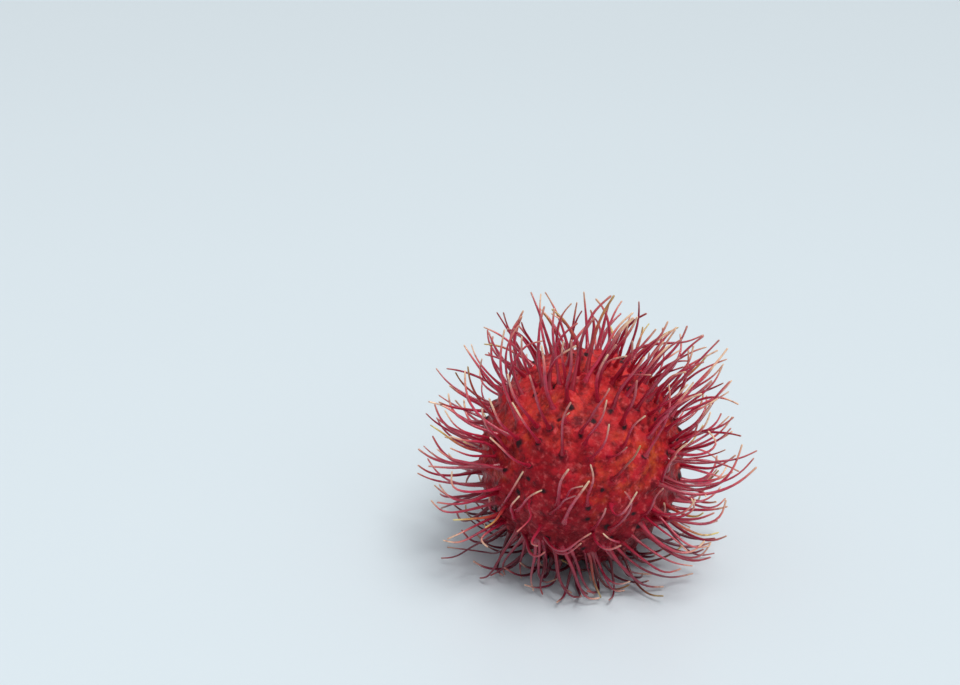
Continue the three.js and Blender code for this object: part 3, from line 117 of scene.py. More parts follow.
  [-0.1, -9.2, 36.4, 0.3, -8, 39.1, 0.9, -6.9, 41.9, 1.9, -5.8, 44.5, 3.1, -4.8, 47, 4.6, -3.8, 49.4, 1.2, 1],
  [-1.6, -8.5, 36.5, -1.5, -9.5, 38.9, -1.4, -10.3, 41.3, -1.1, -11, 43.7, -0.5, -11.3, 46.1, 0.8, -11.2, 48.3, 1.1, 0],
  [-0.7, -11.1, 35.8, 0.7, -10.1, 38.3, 2.4, -9.2, 40.6, 3.9, -8.1, 43, 5.5, -7.2, 45.4, 7.7, -6.4, 47.3, 1.05, 0],
  [1.4, -6.6, 36.8, 2.3, -7.9, 39.1, 3.3, -9, 41.3, 4.4, -9.9, 43.7, 5.6, -10.5, 46.2, 7.5, -10.6, 48, 1.15, 0],
  [3.5, -5.1, 36.5, 4.1, -6.5, 38.7, 4.9, -7.8, 40.9, 5.8, -8.9, 43.1, 7, -9.8, 45.4, 8.2, -9.8, 47.8, 1.2, 0],
  [1.4, -13.3, 34.7, 1.4, -15, 37.1, 1.5, -16.6, 39.5, 1.9, -18.1, 42, 2.6, -19.3, 44.5, 3.9, -19.7, 47, 1.1, 0],
  [2.1, -9.4, 36.1, 2.2, -11.2, 38, 2.4, -13, 39.8, 2.9, -14.7, 41.7, 4, -16.5, 43.1, 5.9, -17.9, 44.1, 0.9, 0],
  [4.2, -8.6, 35.8, 4.9, -10.7, 36.9, 5.8, -12.7, 38.1, 6.8, -14.7, 39.3, 8, -16.6, 40.2, 9.9, -18.1, 40.9, 0.95, 0],
  [5.4, -8, 35.5, 5.6, -9.8, 37.3, 6, -11.6, 39.2, 6.4, -13.3, 41.2, 6.9, -14.8, 43.3, 6.8, -15.4, 45.8, 1.1, 0],
  [-5.7, -14.9, 32.9, -6.5, -15.8, 35.3, -7.1, -16.5, 37.8, -7.4, -17, 40.4, -7.7, -17.2, 43, -8.1, -16.8, 45.6, 1.2, 0],
  [-3.4, -14.4, 34, -3.7, -15.7, 36.5, -3.6, -17, 39, -3.3, -18, 41.7, -3.3, -18.7, 44.4, -3.2, -18.6, 47.3, 1.2, 0],
  [1.6, -14.1, 34.2, 1.2, -16, 36.4, 1, -17.7, 38.6, 1.1, -19.3, 40.9, 1.5, -20.7, 43.4, 2.5, -21.3, 45.9, 1.1, 0],
  [-8.4, -16, 30.3, -9.5, -17.7, 32.5, -10.7, -19.3, 34.8, -11.9, -20.7, 37.2, -13, -21.7, 39.8, -13.7, -21.8, 42.7, 1.1, 0],
  [-6.3, -17.3, 30.5, -7.2, -19.1, 32.8, -8.1, -20.8, 35.2, -8.7, -22.3, 37.7, -9.2, -23.6, 40.5, -10.1, -23.8, 43.4, 1.1, 0],
  [-8.1, -17.9, 28.4, -8.9, -19.9, 30.4, -9.8, -21.8, 32.5, -10.8, -23.6, 34.6, -11.8, -25.1, 36.9, -13, -25.8, 39.5, 1, 0],
  [-13.3, -14.3, 25.2, -14.2, -16.3, 27.3, -15.1, -18.2, 29.4, -16.2, -20, 31.5, -17.3, -21.6, 33.9, -17.7, -22.1, 36.8, 1, 0],
  [-9.7, -18.7, 24.6, -11, -20.6, 25.9, -12.3, -22.3, 27.4, -13.6, -23.8, 29.2, -14.8, -25.1, 31.2, -16.5, -25.6, 33.2, 1, 0],
  [10.5, -0.5, 32.8, 11.2, -1.2, 34.8, 12.1, -1.8, 36.8, 13.2, -2.2, 38.7, 14.3, -2.3, 40.7, 15.6, -2.1, 42.5, 1.05, 0],
  [8.8, -0.5, 34, 9.5, -1.4, 35.8, 10.3, -2.2, 37.6, 11.3, -2.8, 39.3, 12.4, -3.3, 41, 14.1, -3.3, 42.3, 1, 0],
  [11.8, -0.5, 31.5, 13, -0.9, 33.7, 14.7, -1.5, 35.5, 16.6, -1.9, 37, 18.7, -2.1, 38.4, 21, -2.2, 39.2, 1, 0],
  [12.7, -2.4, 30.7, 14.4, -3, 32.7, 16.1, -3.5, 34.7, 18.1, -3.9, 36.6, 20.3, -4.1, 38.1, 22.7, -4, 39.4, 1.05, 0],
  [13.7, -3.2, 29.4, 15.6, -3.1, 31.3, 17.6, -3, 33.1, 19.7, -2.8, 34.8, 22.1, -2.7, 36.1, 24.6, -2.5, 37.1, 1, 0],
  [14.9, -1.5, 27.3, 16.6, -2, 29.2, 18.4, -2.4, 31, 20.4, -2.8, 32.6, 22.5, -2.8, 34.1, 24.1, -2.4, 36.1, 1, 0],
  [15.5, -3.5, 26.2, 17.1, -3.8, 28.2, 19, -4.1, 30, 21, -4.1, 31.8, 22.6, -4, 33.8, 23.7, -3.3, 36.1, 1.05, 0],
  [13.5, -6.4, 29.2, 14.9, -7.4, 31.2, 16.6, -8.3, 32.9, 18.4, -9, 34.8, 20.1, -9.2, 36.7, 21.6, -8.9, 38.9, 1, 0],
  [12, -10.9, 29.2, 13.5, -11.4, 31.1, 15.2, -11.9, 32.7, 17, -12.2, 34.2, 19.1, -12.4, 35.5, 20.8, -12.1, 37.1, 1, 0],
  [10.3, -11.9, 30.6, 11.1, -13.8, 32.4, 12, -15.6, 34.1, 13.1, -17.3, 35.8, 14.4, -18.8, 37.7, 15.8, -19.3, 39.8, 0.95, 0],
  [5.6, -10.6, 34.7, 6.6, -12, 36.8, 7.8, -13.3, 38.9, 9, -14.4, 41.1, 10.4, -15.1, 43.4, 12, -15.1, 45.6, 1.1, 0],
  [3.9, -10.3, 35.4, 4.9, -11.4, 37.9, 6.1, -12.5, 40.2, 7.5, -13.3, 42.6, 9.1, -13.8, 45, 10.9, -13.6, 47.2, 1.1, 0],
  [5, -4.2, 36.1, 5.4, -5.7, 37.9, 5.7, -7.1, 39.9, 6, -8.3, 41.9, 6.4, -9.4, 44, 6.5, -9.5, 46.4, 1, 0],
  [2.8, -6.2, 36.6, 3.2, -7.8, 38.5, 3.7, -9.3, 40.5, 4.2, -10.6, 42.6, 4.8, -11.7, 44.7, 5.7, -12, 47, 1, 0],
  [1.6, -8.4, 36.4, 2.3, -9.7, 39, 3.1, -11, 41.5, 4.1, -12, 44, 5.4, -12.7, 46.6, 7.3, -12.8, 48.8, 1.1, 0],
  [13.3, -10.8, 27.1, 14.4, -12, 29, 15.8, -13.1, 30.8, 17.5, -14.1, 32.4, 19.5, -14.9, 33.7, 21.5, -15, 35.2, 1, 0],
  [14, -11.7, 24.5, 15.2, -13.4, 26.1, 16.4, -15, 27.8, 17.9, -16.5, 29.5, 19.3, -17.6, 31.5, 20.1, -17.6, 34, 1, 0],
  [10.1, 1.7, 32.6, 11.1, 1.4, 34.5, 12.1, 1.2, 36.4, 13.2, 1.1, 38.3, 14.5, 1.2, 40.1, 16.2, 1.4, 41.4, 1.1, 0],
  [7.1, 0.2, 34.9, 8.9, 1.2, 37.3, 11.8, 1.6, 38.2, 15, 1.6, 38.4, 18.1, 1.7, 38.4, 21, 2.2, 39.6, 0.95, 0],
  [11.1, -2.6, 32.4, 11.7, -3.6, 33.8, 12.6, -4.5, 34.9, 13.8, -5.5, 35.8, 15.2, -6.2, 36.6, 16.7, -6.6, 37.4, 0.95, 0],
  [11.9, -7.7, 30.9, 12.1, -9.1, 32.8, 12.5, -10.4, 34.8, 13, -11.7, 36.8, 14.1, -12.8, 38.6, 16.2, -13.7, 39.5, 1, 0],
  [13.2, -3.3, 30.1, 14.3, -4.3, 32.1, 15.6, -5.1, 34.1, 16.8, -5.6, 36.2, 17.8, -5.8, 38.5, 18.2, -5.4, 40.9, 1.05, 0],
  [15.4, -5.2, 25.8, 16.9, -6, 27.6, 18.5, -6.7, 29.3, 20.4, -7.3, 30.8, 22.5, -7.8, 31.9, 24.4, -7.7, 33.3, 1, 0],
  [15.9, -6.7, 23.6, 17.5, -7.8, 24.9, 19.3, -8.9, 26.2, 21.3, -9.9, 27, 23.3, -10.4, 28.1, 25.1, -10.3, 29.7, 1, 0],
  [16.4, -6.6, 21.6, 18.1, -7.7, 22.4, 19.9, -8.7, 23.2, 21.7, -9.4, 24.2, 23.5, -9.7, 25.5, 24.9, -9.4, 27.2, 1, 0],
  [16.1, -8.4, 19.8, 17.8, -9.9, 20.2, 19.7, -11.3, 20.5, 21.7, -12.4, 21, 23.7, -12.9, 22.2, 25.5, -12.8, 23.7, 1, 0],
  [12.2, -15.8, 20.5, 15.7, -16.4, 19.1, 19.4, -16.4, 18.9, 23, -16, 20.1, 25.1, -14.8, 22.8, 26.3, -13.5, 26.1, 1.1, 0],
  [11.3, -16.9, 20.7, 14.8, -17.5, 19.3, 18.5, -17.7, 18.6, 22.3, -17.5, 19.2, 25.8, -16.9, 20.7, 28.6, -15.9, 23, 1.25, 0],
  [12, -15.9, 21.7, 15.3, -16.5, 20.2, 18.9, -16.7, 19.8, 22.5, -16.5, 20.3, 25.8, -15.9, 21.7, 28.2, -14.9, 24.2, 1, 0],
  [12.9, -14, 23.6, 16.2, -14.2, 23.1, 19.5, -14.3, 22.9, 22.7, -14.2, 23.2, 26, -14, 23.6, 28.9, -13.5, 24.9, 1, 0],
  [13.4, -12.8, 24.6, 15.6, -14.2, 24.6, 17.9, -15.2, 24.8, 20.3, -15.9, 25.7, 21.7, -15.9, 27.5, 20.1, -15.4, 29.4, 1, 0],
  [13.4, -14.1, 21.3, 13.6, -15.5, 22.9, 13.9, -16.8, 24.5, 14.3, -18.1, 26.1, 14.9, -19.2, 27.8, 16.1, -19.9, 29.4, 1.1, 0],
  [12.5, -15.5, 19.2, 12.5, -17, 20.8, 12.7, -18.3, 22.5, 12.8, -19.5, 24.2, 13.1, -20.7, 26.1, 14.2, -21.3, 27.7, 1, 0],
  [13.6, -13.5, 22.4, 16, -13.2, 23, 18.6, -13.2, 23, 21.2, -13.3, 22.8, 23.7, -13.6, 22.2, 26, -14, 21.1, 1, 0],
  [15.8, -7.7, 22.9, 17.7, -6.9, 25, 19.8, -6.1, 26.9, 21.6, -5.2, 29.1, 23.2, -4.3, 31.3, 25.2, -3.4, 33.3, 1.3, 0],
  [14, -11.1, 25.2, 15.1, -12.7, 27, 16.2, -14.3, 28.9, 17.6, -15.7, 30.7, 18.9, -16.8, 32.8, 20.3, -16.9, 35.1, 1.2, 0],
  [14.8, -10.7, 22.9, 15.5, -12.2, 24.5, 16.4, -13.6, 26.1, 17.3, -14.8, 27.7, 18.1, -15.7, 29.7, 18.2, -15.8, 31.9, 1, 0],
  [10, -8.6, 32.5, 11.9, -7.7, 34.6, 13.7, -6.9, 36.6, 15.7, -6.1, 38.6, 17.8, -5.3, 40.6, 20.1, -4.6, 42.2, 1.15, 0],
  [11.7, -10.2, 30, 13.5, -9.1, 32.6, 15.7, -8.1, 35.1, 17.9, -7.2, 37.4, 20.3, -6.3, 39.6, 22.7, -5.4, 41.8, 1.1, 0],
  [14.3, -7.2, 27.5, 16, -6.1, 30.1, 18.1, -5.2, 32.3, 20.4, -4.3, 34.5, 22.7, -3.4, 36.7, 24.6, -2.4, 39.1, 1.15, 0],
  [7.7, -9.4, 33.9, 8.9, -10.5, 36.2, 10.2, -11.5, 38.6, 11.6, -12.2, 41, 13.1, -12.6, 43.3, 15.4, -12.7, 45, 1.05, 0],
  [6.4, -11.7, 33.8, 7.5, -12.4, 36, 8.7, -13, 38.2, 10.1, -13.4, 40.4, 11.6, -13.5, 42.5, 13.3, -13.3, 44.3, 1.1, 0],
  [7.4, -4.3, 35, 8.1, -5.6, 37.4, 9.2, -6.8, 39.7, 10.6, -7.9, 41.9, 12.2, -8.7, 44, 13.4, -8.5, 46.5, 1.1, 0],
  [9.8, -5.7, 33.4, 11.2, -5.6, 35.6, 12.8, -5.4, 37.7, 14.6, -5.2, 39.6, 16.3, -4.8, 41.6, 17.3, -4.1, 43.9, 1.15, 0],
  [15.1, -3.7, 27, 15.9, -4.2, 29.4, 16.7, -4.6, 31.8, 17.4, -4.7, 34.3, 17.7, -4.6, 36.9, 17.6, -4, 39.4, 1.05, 0],
  [10.6, -14, 28.6, 11.3, -15.3, 30.9, 12.4, -16.6, 33.2, 13.8, -17.8, 35.2, 15.7, -18.9, 36.9, 18.2, -19.4, 38.1, 1.1, 0],
  [12.5, -11.2, 28.2, 13.6, -12, 30.5, 15, -12.9, 32.6, 16.8, -13.6, 34.4, 18.6, -14.1, 36.3, 20.5, -13.9, 38.1, 1.1, 0],
  [9.9, -15.5, 27.8, 11.1, -16.2, 30.2, 12.5, -16.8, 32.5, 13.9, -17.3, 34.8, 15.5, -17.4, 37, 17.1, -17.1, 39.2, 1.1, 0],
  [8, -13, 32, 9, -14.1, 34.4, 10.1, -15.1, 36.7, 11.3, -15.8, 39, 12.7, -16.3, 41.4, 14.7, -16.3, 43.3, 1.1, 0],
  [10.2, -9.4, 32.1, 11.7, -9.3, 33.9, 13.4, -9.1, 35.6, 15.4, -8.9, 37.1, 17.5, -8.8, 38.3, 19.8, -8.6, 39.1, 1.1, 0],
  [4, -15, 33, 4.4, -15.8, 35.3, 5, -16.5, 37.6, 6.1, -17.1, 39.7, 7.5, -17.5, 41.7, 8.9, -17.2, 43.7, 1, 0],
  [-6.8, -14.9, 6.9, -6.9, -16.1, 5.7, -7, -17.2, 4.4, -7.5, -18.2, 3.1, -7.9, -19.3, 1.9, -7.3, -20, 0.6, 0.95, 0],
  [-5, -16.2, 7.2, -5, -17.3, 5.9, -5, -18.3, 4.5, -4.4, -19.2, 3.1, -3.5, -19.7, 1.8, -2.3, -19.4, 0.6, 0.95, 0],
  [-3.2, -17.1, 7.5, -2.8, -18, 6.1, -2.3, -18.8, 4.6, -1.6, -19.6, 3.2, -0.8, -20.1, 1.8, 0.5, -19.7, 0.6, 1, 0],
  [10.8, -16.8, 15.7, 11.8, -19, 15.9, 13.2, -21, 16.6, 14.7, -22.6, 17.6, 16.3, -23.7, 19, 17.4, -23.8, 21.1, 1.1, 0],
  [11.7, -15.1, 13.8, 13.1, -17.1, 14, 14.7, -18.7, 14.8, 16.5, -19.9, 15.9, 18, -20.6, 17.7, 17.1, -20.6, 19.5, 1, 0],
  [11, -15.3, 12.8, 12.8, -17.1, 13.5, 14.6, -18.7, 14.6, 16.6, -20.2, 15.3, 18.8, -21.4, 16.1, 21.1, -21.6, 17.3, 1.2, 0],
  [11.6, -13.4, 10.9, 14.6, -13.1, 11.5, 17.7, -13.3, 11, 20.8, -13.5, 10.7, 23.5, -13, 11.9, 24.4, -11.8, 14.6, 1.1, 0],
  [10.7, -17.1, 16.6, 12.9, -17.8, 15.1, 15.1, -18.4, 13.6, 17.5, -18.9, 12.4, 20.1, -19.2, 11.6, 22.4, -19, 12.2, 1, 1],
  [11.2, -16.2, 15.2, 12.7, -18, 14.2, 14.2, -19.7, 13.1, 15.8, -21.2, 11.9, 17.9, -22.4, 11.1, 20.3, -22.5, 11.5, 1, 0],
  [9.1, -18.2, 15.5, 10.1, -20.6, 15.5, 11.3, -22.8, 15.5, 12.6, -25, 15.4, 14.2, -27, 15.1, 15.9, -28.5, 13.9, 0.9, 0],
  [8.7, -18.2, 14.3, 10.4, -19.1, 12.2, 12.6, -19.8, 10.4, 15.1, -20.3, 9.1, 18, -20.4, 9.1, 20, -19.6, 10.9, 1.15, 0],
  [10.8, -12.2, 8.5, 12.7, -13.8, 7.2, 14.9, -15.1, 6.1, 17.4, -16.1, 5.6, 20.1, -16.4, 6.1, 21.6, -15.7, 8.3, 1.05, 0],
  [9.2, -16.6, 11.9, 11.1, -18.1, 10.5, 13.2, -19.5, 9.3, 15.6, -20.7, 8.3, 18.3, -21.4, 7.9, 20.9, -21.3, 8.7, 1.05, 0],
  [7.1, -18.1, 11.8, 8.9, -19.6, 10.7, 10.8, -20.9, 9.8, 12.9, -22.1, 8.9, 15.2, -22.9, 8.3, 17.7, -23.2, 8.1, 0.95, 0],
  [5.8, -17.7, 10, 7.3, -19.8, 9.5, 9, -21.8, 8.9, 10.9, -23.6, 8.2, 13.1, -25, 7.7, 15.5, -25.2, 8.7, 1, 0],
  [4.4, -18.3, 9.9, 7.1, -19.4, 7.3, 10.1, -19.3, 4.9, 13.2, -17.8, 3, 15.8, -15.2, 1.3, 19, -14.7, 1.8, 1, 0],
  [3.4, -18.7, 10, 4.9, -19.6, 7.5, 6.8, -19.9, 5.2, 8.9, -19.6, 3, 11, -18.2, 1, 13.7, -17.7, 0.8, 1.1, 0],
  [1, -18.3, 8.8, 1.9, -18.9, 6.9, 2.7, -19.5, 4.9, 3.7, -19.8, 3, 5, -19.6, 1.1, 6.8, -19.4, 1.2, 1, 0],
  [0.6, -18.9, 9.5, 1.4, -18.9, 6.9, 2.1, -19.1, 4.2, 3.3, -18.8, 1.7, 5.4, -18.4, 0.6, 7.7, -18.4, 1.8, 1, 1],
  [0.2, -18.5, 8.9, 0.8, -19.1, 7.1, 1, -20, 5.4, 1.2, -20.8, 3.6, 2, -21.2, 2, 2.6, -21, 0.6, 1, 1],
  [-4.5, -19.1, 10.6, -3.4, -20, 8.3, -2.3, -21, 6, -1.3, -22.1, 3.7, 0.2, -22.6, 1.4, 2.3, -22, 1.2, 1.1, 0],
  [-3.1, -19.2, 10.3, -2.3, -19.5, 8.3, -1.5, -19.8, 6.3, -0.7, -20.2, 4.2, 0.2, -20.5, 2.2, 1.5, -20, 0.6, 1, 0],
  [-5.8, -18.5, 10.4, -5.2, -19.8, 8.2, -4.9, -21.2, 6, -4.1, -22.5, 3.8, -2.5, -22.5, 1.8, -1, -20.7, 0.6, 1, 0],
  [-7.7, -17.8, 10.8, -7.1, -17.1, 8.8, -6.8, -16.5, 6.8, -6.7, -16, 4.6, -6.9, -15.5, 2.5, -7.6, -14.7, 0.6, 1, 0],
  [-8.9, -17.4, 11.4, -8.5, -17.7, 9.2, -8.6, -18, 7, -9.1, -18.2, 4.9, -9.5, -18.5, 2.7, -8.9, -18.7, 0.6, 1.05, 0],
  [-8.2, -17.7, 11.2, -7.8, -17.7, 8.5, -8, -17.7, 5.8, -8, -17.8, 3, -6.8, -16.5, 0.8, -4.7, -16.2, 1.6, 1, 0],
  [-10.3, -14.3, 9.1, -10.4, -14.3, 7.4, -10.6, -14.3, 5.7, -11, -14.3, 4, -11.1, -14.3, 2.3, -10.9, -14.3, 0.6, 0.85, 0],
  [-0.6, -19.2, 9.9, -0.1, -18.4, 8.1, 0.2, -17.6, 6.2, 0.4, -16.9, 4.3, 0.8, -16.1, 2.4, 1.2, -15.3, 0.6, 0.9, 0],
  [2.3, -19.5, 10.8, 3.8, -18.7, 7.9, 5.6, -17.4, 5.4, 7.4, -15.8, 3.1, 9.2, -13.3, 0.9, 12.1, -12.9, 0.6, 0.95, 0],])

# Dark spots beside the roots on the front: place, half width, half height.
SPOTS = [(-11.2, -16, 27.3, 0.33, 0.48), (-4.4, -20.4, 27.4, 0.32, 0.48), (-9.5, -18.9, 24.7, 0.36, 0.32), (-8.1, -18, 28.5, 0.32, 0.4), (-8.3, -16.2, 30.4, 0.36, 0.4), (3.6, -15.5, 32.9, 0.32, 0.28), (0.8, -17.2, 32.2, 0.32, 0.32), (5.6, -16.8, 30.8, 0.25, 0.4), (7.9, -13, 32.2, 0.4, 0.44), (-13.8, -13.7, 25.1, 0.32, 0.28), (9, -17.8, 25.8, 0.36, 0.32), (-1.6, -8.4, 36.6, 0.24, 0.36), (-6.1, -17.5, 30.6, 0.32, 0.32), (-2.9, -15.3, 33.6, 0.36, 0.32), (10.2, -9.3, 32.2, 0.32, 0.24), (-1.5, -19.1, 30.3, 0.24, 0.24), (-11.7, -17.9, 19.3, 0.32, 0.32), (-7.6, -20.9, 21, 0.32, 0.28), (-0.1, -22.5, 18.9, 0.32, 0.32), (3.1, -21.2, 14.6, 0.36, 0.32), (7.7, -19.6, 16, 0.32, 0.28), (-10, -19.1, 22.4, 0.28, 0.24), (2.1, -22.2, 21.9, 0.24, 0.24), (-6.5, -18.9, 11.5, 0.32, 0.36), (1.6, -14.1, 34.4, 0.24, 0.32), (-5.6, -10.6, 35.2, 0.32, 0.4), (4.1, -19.5, 11.6, 0.32, 0.28), (8.6, -17.6, 12.7, 0.4, 0.32), (-4.8, -16.6, 32.1, 0.24, 0.24), (-0.1, -22.1, 16.4, 0.28, 0.24), (-2.6, -19.1, 9.8, 0.32, 0.32), (-0.6, -19.4, 10, 0.32, 0.32), (-13.5, -15.5, 22.2, 0.24, 0.24), (11.6, -11.5, 29.5, 0.28, 0.28), (13.3, -13.1, 24.4, 0.32, 0.32), (15.9, -6.5, 24.1, 0.32, 0.32), (7.2, -9.8, 34.3, 0.4, 0.4), (-8.8, -10.3, 33.8, 0.24, 0.32), (-12, -11.3, 30.5, 0.24, 0.24)]

# Orange patches on the front: place and reach.
WARM = [(-7.2, -13.3, 33.3, 4.2), (-0.5, -13.7, 34.8, 3.6), (-4.3, -16.5, 32.4, 3.0), (4.5, -6.2, 36.2, 4.4), (2.1, -12.3, 35.2, 3.0), (10.8, -15.6, 26.4, 3.9), (8.6, -18.8, 23.9, 2.7), (-11.3, -14.5, 28.8, 3.0), (13.6, -9.5, 27.8, 3.2), (5.5, -18.2, 29.2, 1.9)]

# ---- body frame ------------------------------------------------------------------
rad = math.pi / 180
AXIS = np.array([math.sin(TURN * rad) * math.cos(TILT_UP * rad), -math.cos(TURN * rad) * math.cos(TILT_UP * rad), math.sin(TILT_UP * rad)])
SIDE = np.cross(AXIS, [0, 0, 1.0]); SIDE /= np.linalg.norm(SIDE)
if SIDE[0] < 0: SIDE = -SIDE
RISE = np.cross(AXIS, SIDE)
if RISE[2] < 0: RISE = -RISE
SEMI = np.array([STEM_SEMI, WIDTH_SEMI, HEIGHT_SEMI])
FRAME = np.stack([AXIS, SIDE, RISE])
reach = FRAME.T @ (SEMI ** 2 * FRAME[:, 2])
lowest = math.sqrt(reach[2])
CENTRE = np.array([reach[0] / lowest * (lowest - FLAT_CUT) / lowest, reach[1] / lowest * (lowest - FLAT_CUT) / lowest, lowest - FLAT_CUT])


def on_body(q): return CENTRE + (np.asarray(q) * SEMI) @ FRAME
def in_body(p): return ((np.asarray(p) - CENTRE) @ FRAME.T) / SEMI


def skin_normal(q):
    n = (np.asarray(q) / SEMI) @ FRAME
    return n / np.linalg.norm(n, axis=-1, keepdims=True)


# ---- centre lines, the same as in the CAD part --------------------------------------
_seed = 20261


def rnd():
    global _seed
    _seed = (_seed * 1664525 + 1013904223) % 4294967296
    return _seed / 4294967296


def unit(v): return v / np.linalg.norm(v)


def grow(root, normal, length, d):
    a = unit(np.array([-normal[1], normal[0], 0.001]))
    b = np.cross(normal, a)
    lean = 0.08 + 0.4 * d[1]
    turn = 2 * math.pi * d[0]
    way = unit(normal + a * lean * math.cos(turn) + b * lean * math.sin(turn))
    hook_turn = 2 * math.pi * d[2]
    hook = a * math.cos(hook_turn) + b * math.sin(hook_turn)
    hook = unit(hook + np.array([0, 0, 0.75 * (1 - max(0, normal[2]))]))
    hook_by = 0.3 + 1.1 * d[3] * d[3]
    lift = np.array([0.12, 0, 1])
    p = root.copy()
    line = [p.copy()]
    steps = 10
    for k in range(steps):
        t = (k + 0.5) / steps
        p = p + way * (length / steps)
        way = way + lift * (0.02 + 0.1 * t * t) + hook * (hook_by * (0.07 + 0.5 * t * t))
        if p[2] < LYING_Z:
            p[2] = LYING_Z
            way[2] = max(way[2], 0.05)
        q = in_body(p)
        out = np.linalg.norm(q)
        least = 1 + 0.05 * min(1, (k + 1) / 4)
        if out < least:
            p = on_body(q * least / out)
            p[2] = max(p[2], LYING_Z)
            way = way + skin_normal(q) * 0.3
        way = unit(way)
        if k % 2 == 1: line.append(p.copy())
    return np.array(line)


spinterns = [(row[:18].reshape(6, 3), row[18], int(row[19])) for row in SET_SPINTERNS]
for i in range(FILL_COUNT):
    d = [rnd() for _ in range(10)]
    z = 1 - (2 * i + 1) / FILL_COUNT
    r = math.sqrt(1 - z * z)
    turn = i * 2.399963229728653
    q = np.array([z + 0.1 * (d[0] - 0.5), r * math.cos(turn) + 0.1 * (d[1] - 0.5), r * math.sin(turn) + 0.1 * (d[2] - 0.5)])
    q = unit(q)
    root = on_body(q)
    facing = skin_normal(q) @ SET_SIDE
    if facing > SET_BARE or q[0] < SCAR_CLEAR: continue
    if root[2] < 1.7 and math.hypot(root[0], root[1]) < 7.5: continue
    if min(np.linalg.norm(s[0][0] - root) for s in spinterns) < (SET_SPACING if facing > SET_EDGE else FILL_SPACING): continue
    top = max(0, skin_normal(q)[2])
    length = (FILL_LENGTH + FILL_LENGTH_SPREAD * (d[3] - 0.5)) * (1 - 0.16 * top * top)
    spinterns.append((grow(root, skin_normal(q), length, d[4:]), 0.85 + 0.35 * d[2], 1 if d[9] < 0.12 else 0))
print("spinterns", len(spinterns))

rng = np.random.default_rng(11)
ROOTS = np.array([s[0][0] for s in spinterns])
ROOT_Q = in_body(ROOTS); ROOT_Q /= np.linalg.norm(ROOT_Q, axis=1, keepdims=True)
ROOTS = on_body(ROOT_Q)


SMOOTHING = 40


def catmull(points, samples):
    """Centripetal Catmull-Rom through the points, evenly resampled along its length."""
    P = np.vstack([2 * points[0] - points[1], points, 2 * points[-1] - points[-2]])
    out = []
    for i in range(1, len(P) - 2):
        p0, p1, p2, p3 = P[i - 1:i + 3]
        dt = [max(np.linalg.norm(b - a) ** 0.5, 1e-4) for a, b in ((p0, p1), (p1, p2), (p2, p3))]
        t1 = ((p1 - p0) / dt[0] - (p2 - p0) / (dt[0] + dt[1]) + (p2 - p1) / dt[1]) * dt[1]
        t2 = ((p2 - p1) / dt[1] - (p3 - p1) / (dt[1] + dt[2]) + (p3 - p2) / dt[2]) * dt[1]
        t = np.linspace(0, 1, 12, endpoint=False)[:, None]
        out.append(p1 + t1 * t + (-3 * p1 + 3 * p2 - 2 * t1 - t2) * t ** 2 + (2 * p1 - 2 * p2 + t1 + t2) * t ** 3)
    C = np.vstack(out + [points[-1:]])
    for _ in range(SMOOTHING):
        C[1:-1] = 0.25 * C[:-2] + 0.5 * C[1:-1] + 0.25 * C[2:]
    s = np.r_[0, np.cumsum(np.linalg.norm(np.diff(C, axis=0), axis=1))]
    u = samples * s[-1]
    return np.stack([np.interp(u, s, C[:, k]) for k in range(3)], axis=1), s[-1]


# ---- smooth value noise on points (mm) -----------------------------------------------
_lattice = np.random.default_rng(3).random((32, 32, 32))


def noise(p, size):
    q = np.asarray(p) / size + 100.0
    i = np.floor(q).astype(int); f = q - i; f = f * f * (3 - 2 * f)
    out = 0
    for dx in (0, 1):
        for dy in (0, 1):
            for dz in (0, 1):
                w = (f[..., 0] if dx else 1 - f[..., 0]) * (f[..., 1] if dy else 1 - f[..., 1]) * (f[..., 2] if dz else 1 - f[..., 2])
                out = out + w * _lattice[(i[..., 0] + dx) % 32, (i[..., 1] + dy) % 32, (i[..., 2] + dz) % 32]
    return out


def smooth(x, a, b):
    t = np.clip((x - a) / (b - a), 0, 1)
    return t * t * (3 - 2 * t)


# ---- mesh helpers ------------------------------------------------------------------
def make_mesh(name, verts_mm, quads, uv, attributes, material, tris=None):
    me = bpy.data.meshes.new(name)
    v = np.asarray(verts_mm, dtype=np.float32) * MM
    me.vertices.add(len(v)); me.vertices.foreach_set("co", v.ravel())
    loops = np.asarray(quads, dtype=np.int32).ravel()
    sizes = np.full(len(quads), 4, dtype=np.int32)
    if tris is not None and len(tris):
        loops = np.r_[loops, np.asarray(tris, dtype=np.int32).ravel()]
        sizes = np.r_[sizes, np.full(len(tris), 3, dtype=np.int32)]
    starts = np.r_[0, np.cumsum(sizes)[:-1]].astype(np.int32)
    me.loops.add(len(loops)); me.loops.foreach_set("vertex_index", loops.astype(np.int32))
    me.polygons.add(len(sizes)); me.polygons.foreach_set("loop_start", starts)
    me.polygons.foreach_set("use_smooth", np.ones(len(sizes), dtype=bool))
    me.update(calc_edges=True)
    me.validate()
    if uv is not None:
        layer = me.uv_layers.new(name="OFBake")
        layer.data.foreach_set("uv", np.asarray(uv, dtype=np.float32).ravel())
    for key, values in attributes.items():
        a = me.attributes.new(key, "FLOAT", "POINT")
        a.data.foreach_set("value", np.asarray(values, dtype=np.float32))
    ob = bpy.data.objects.new(name, me)
    bpy.context.scene.collection.objects.link(ob)
    ob.data.materials.append(material)
    return ob


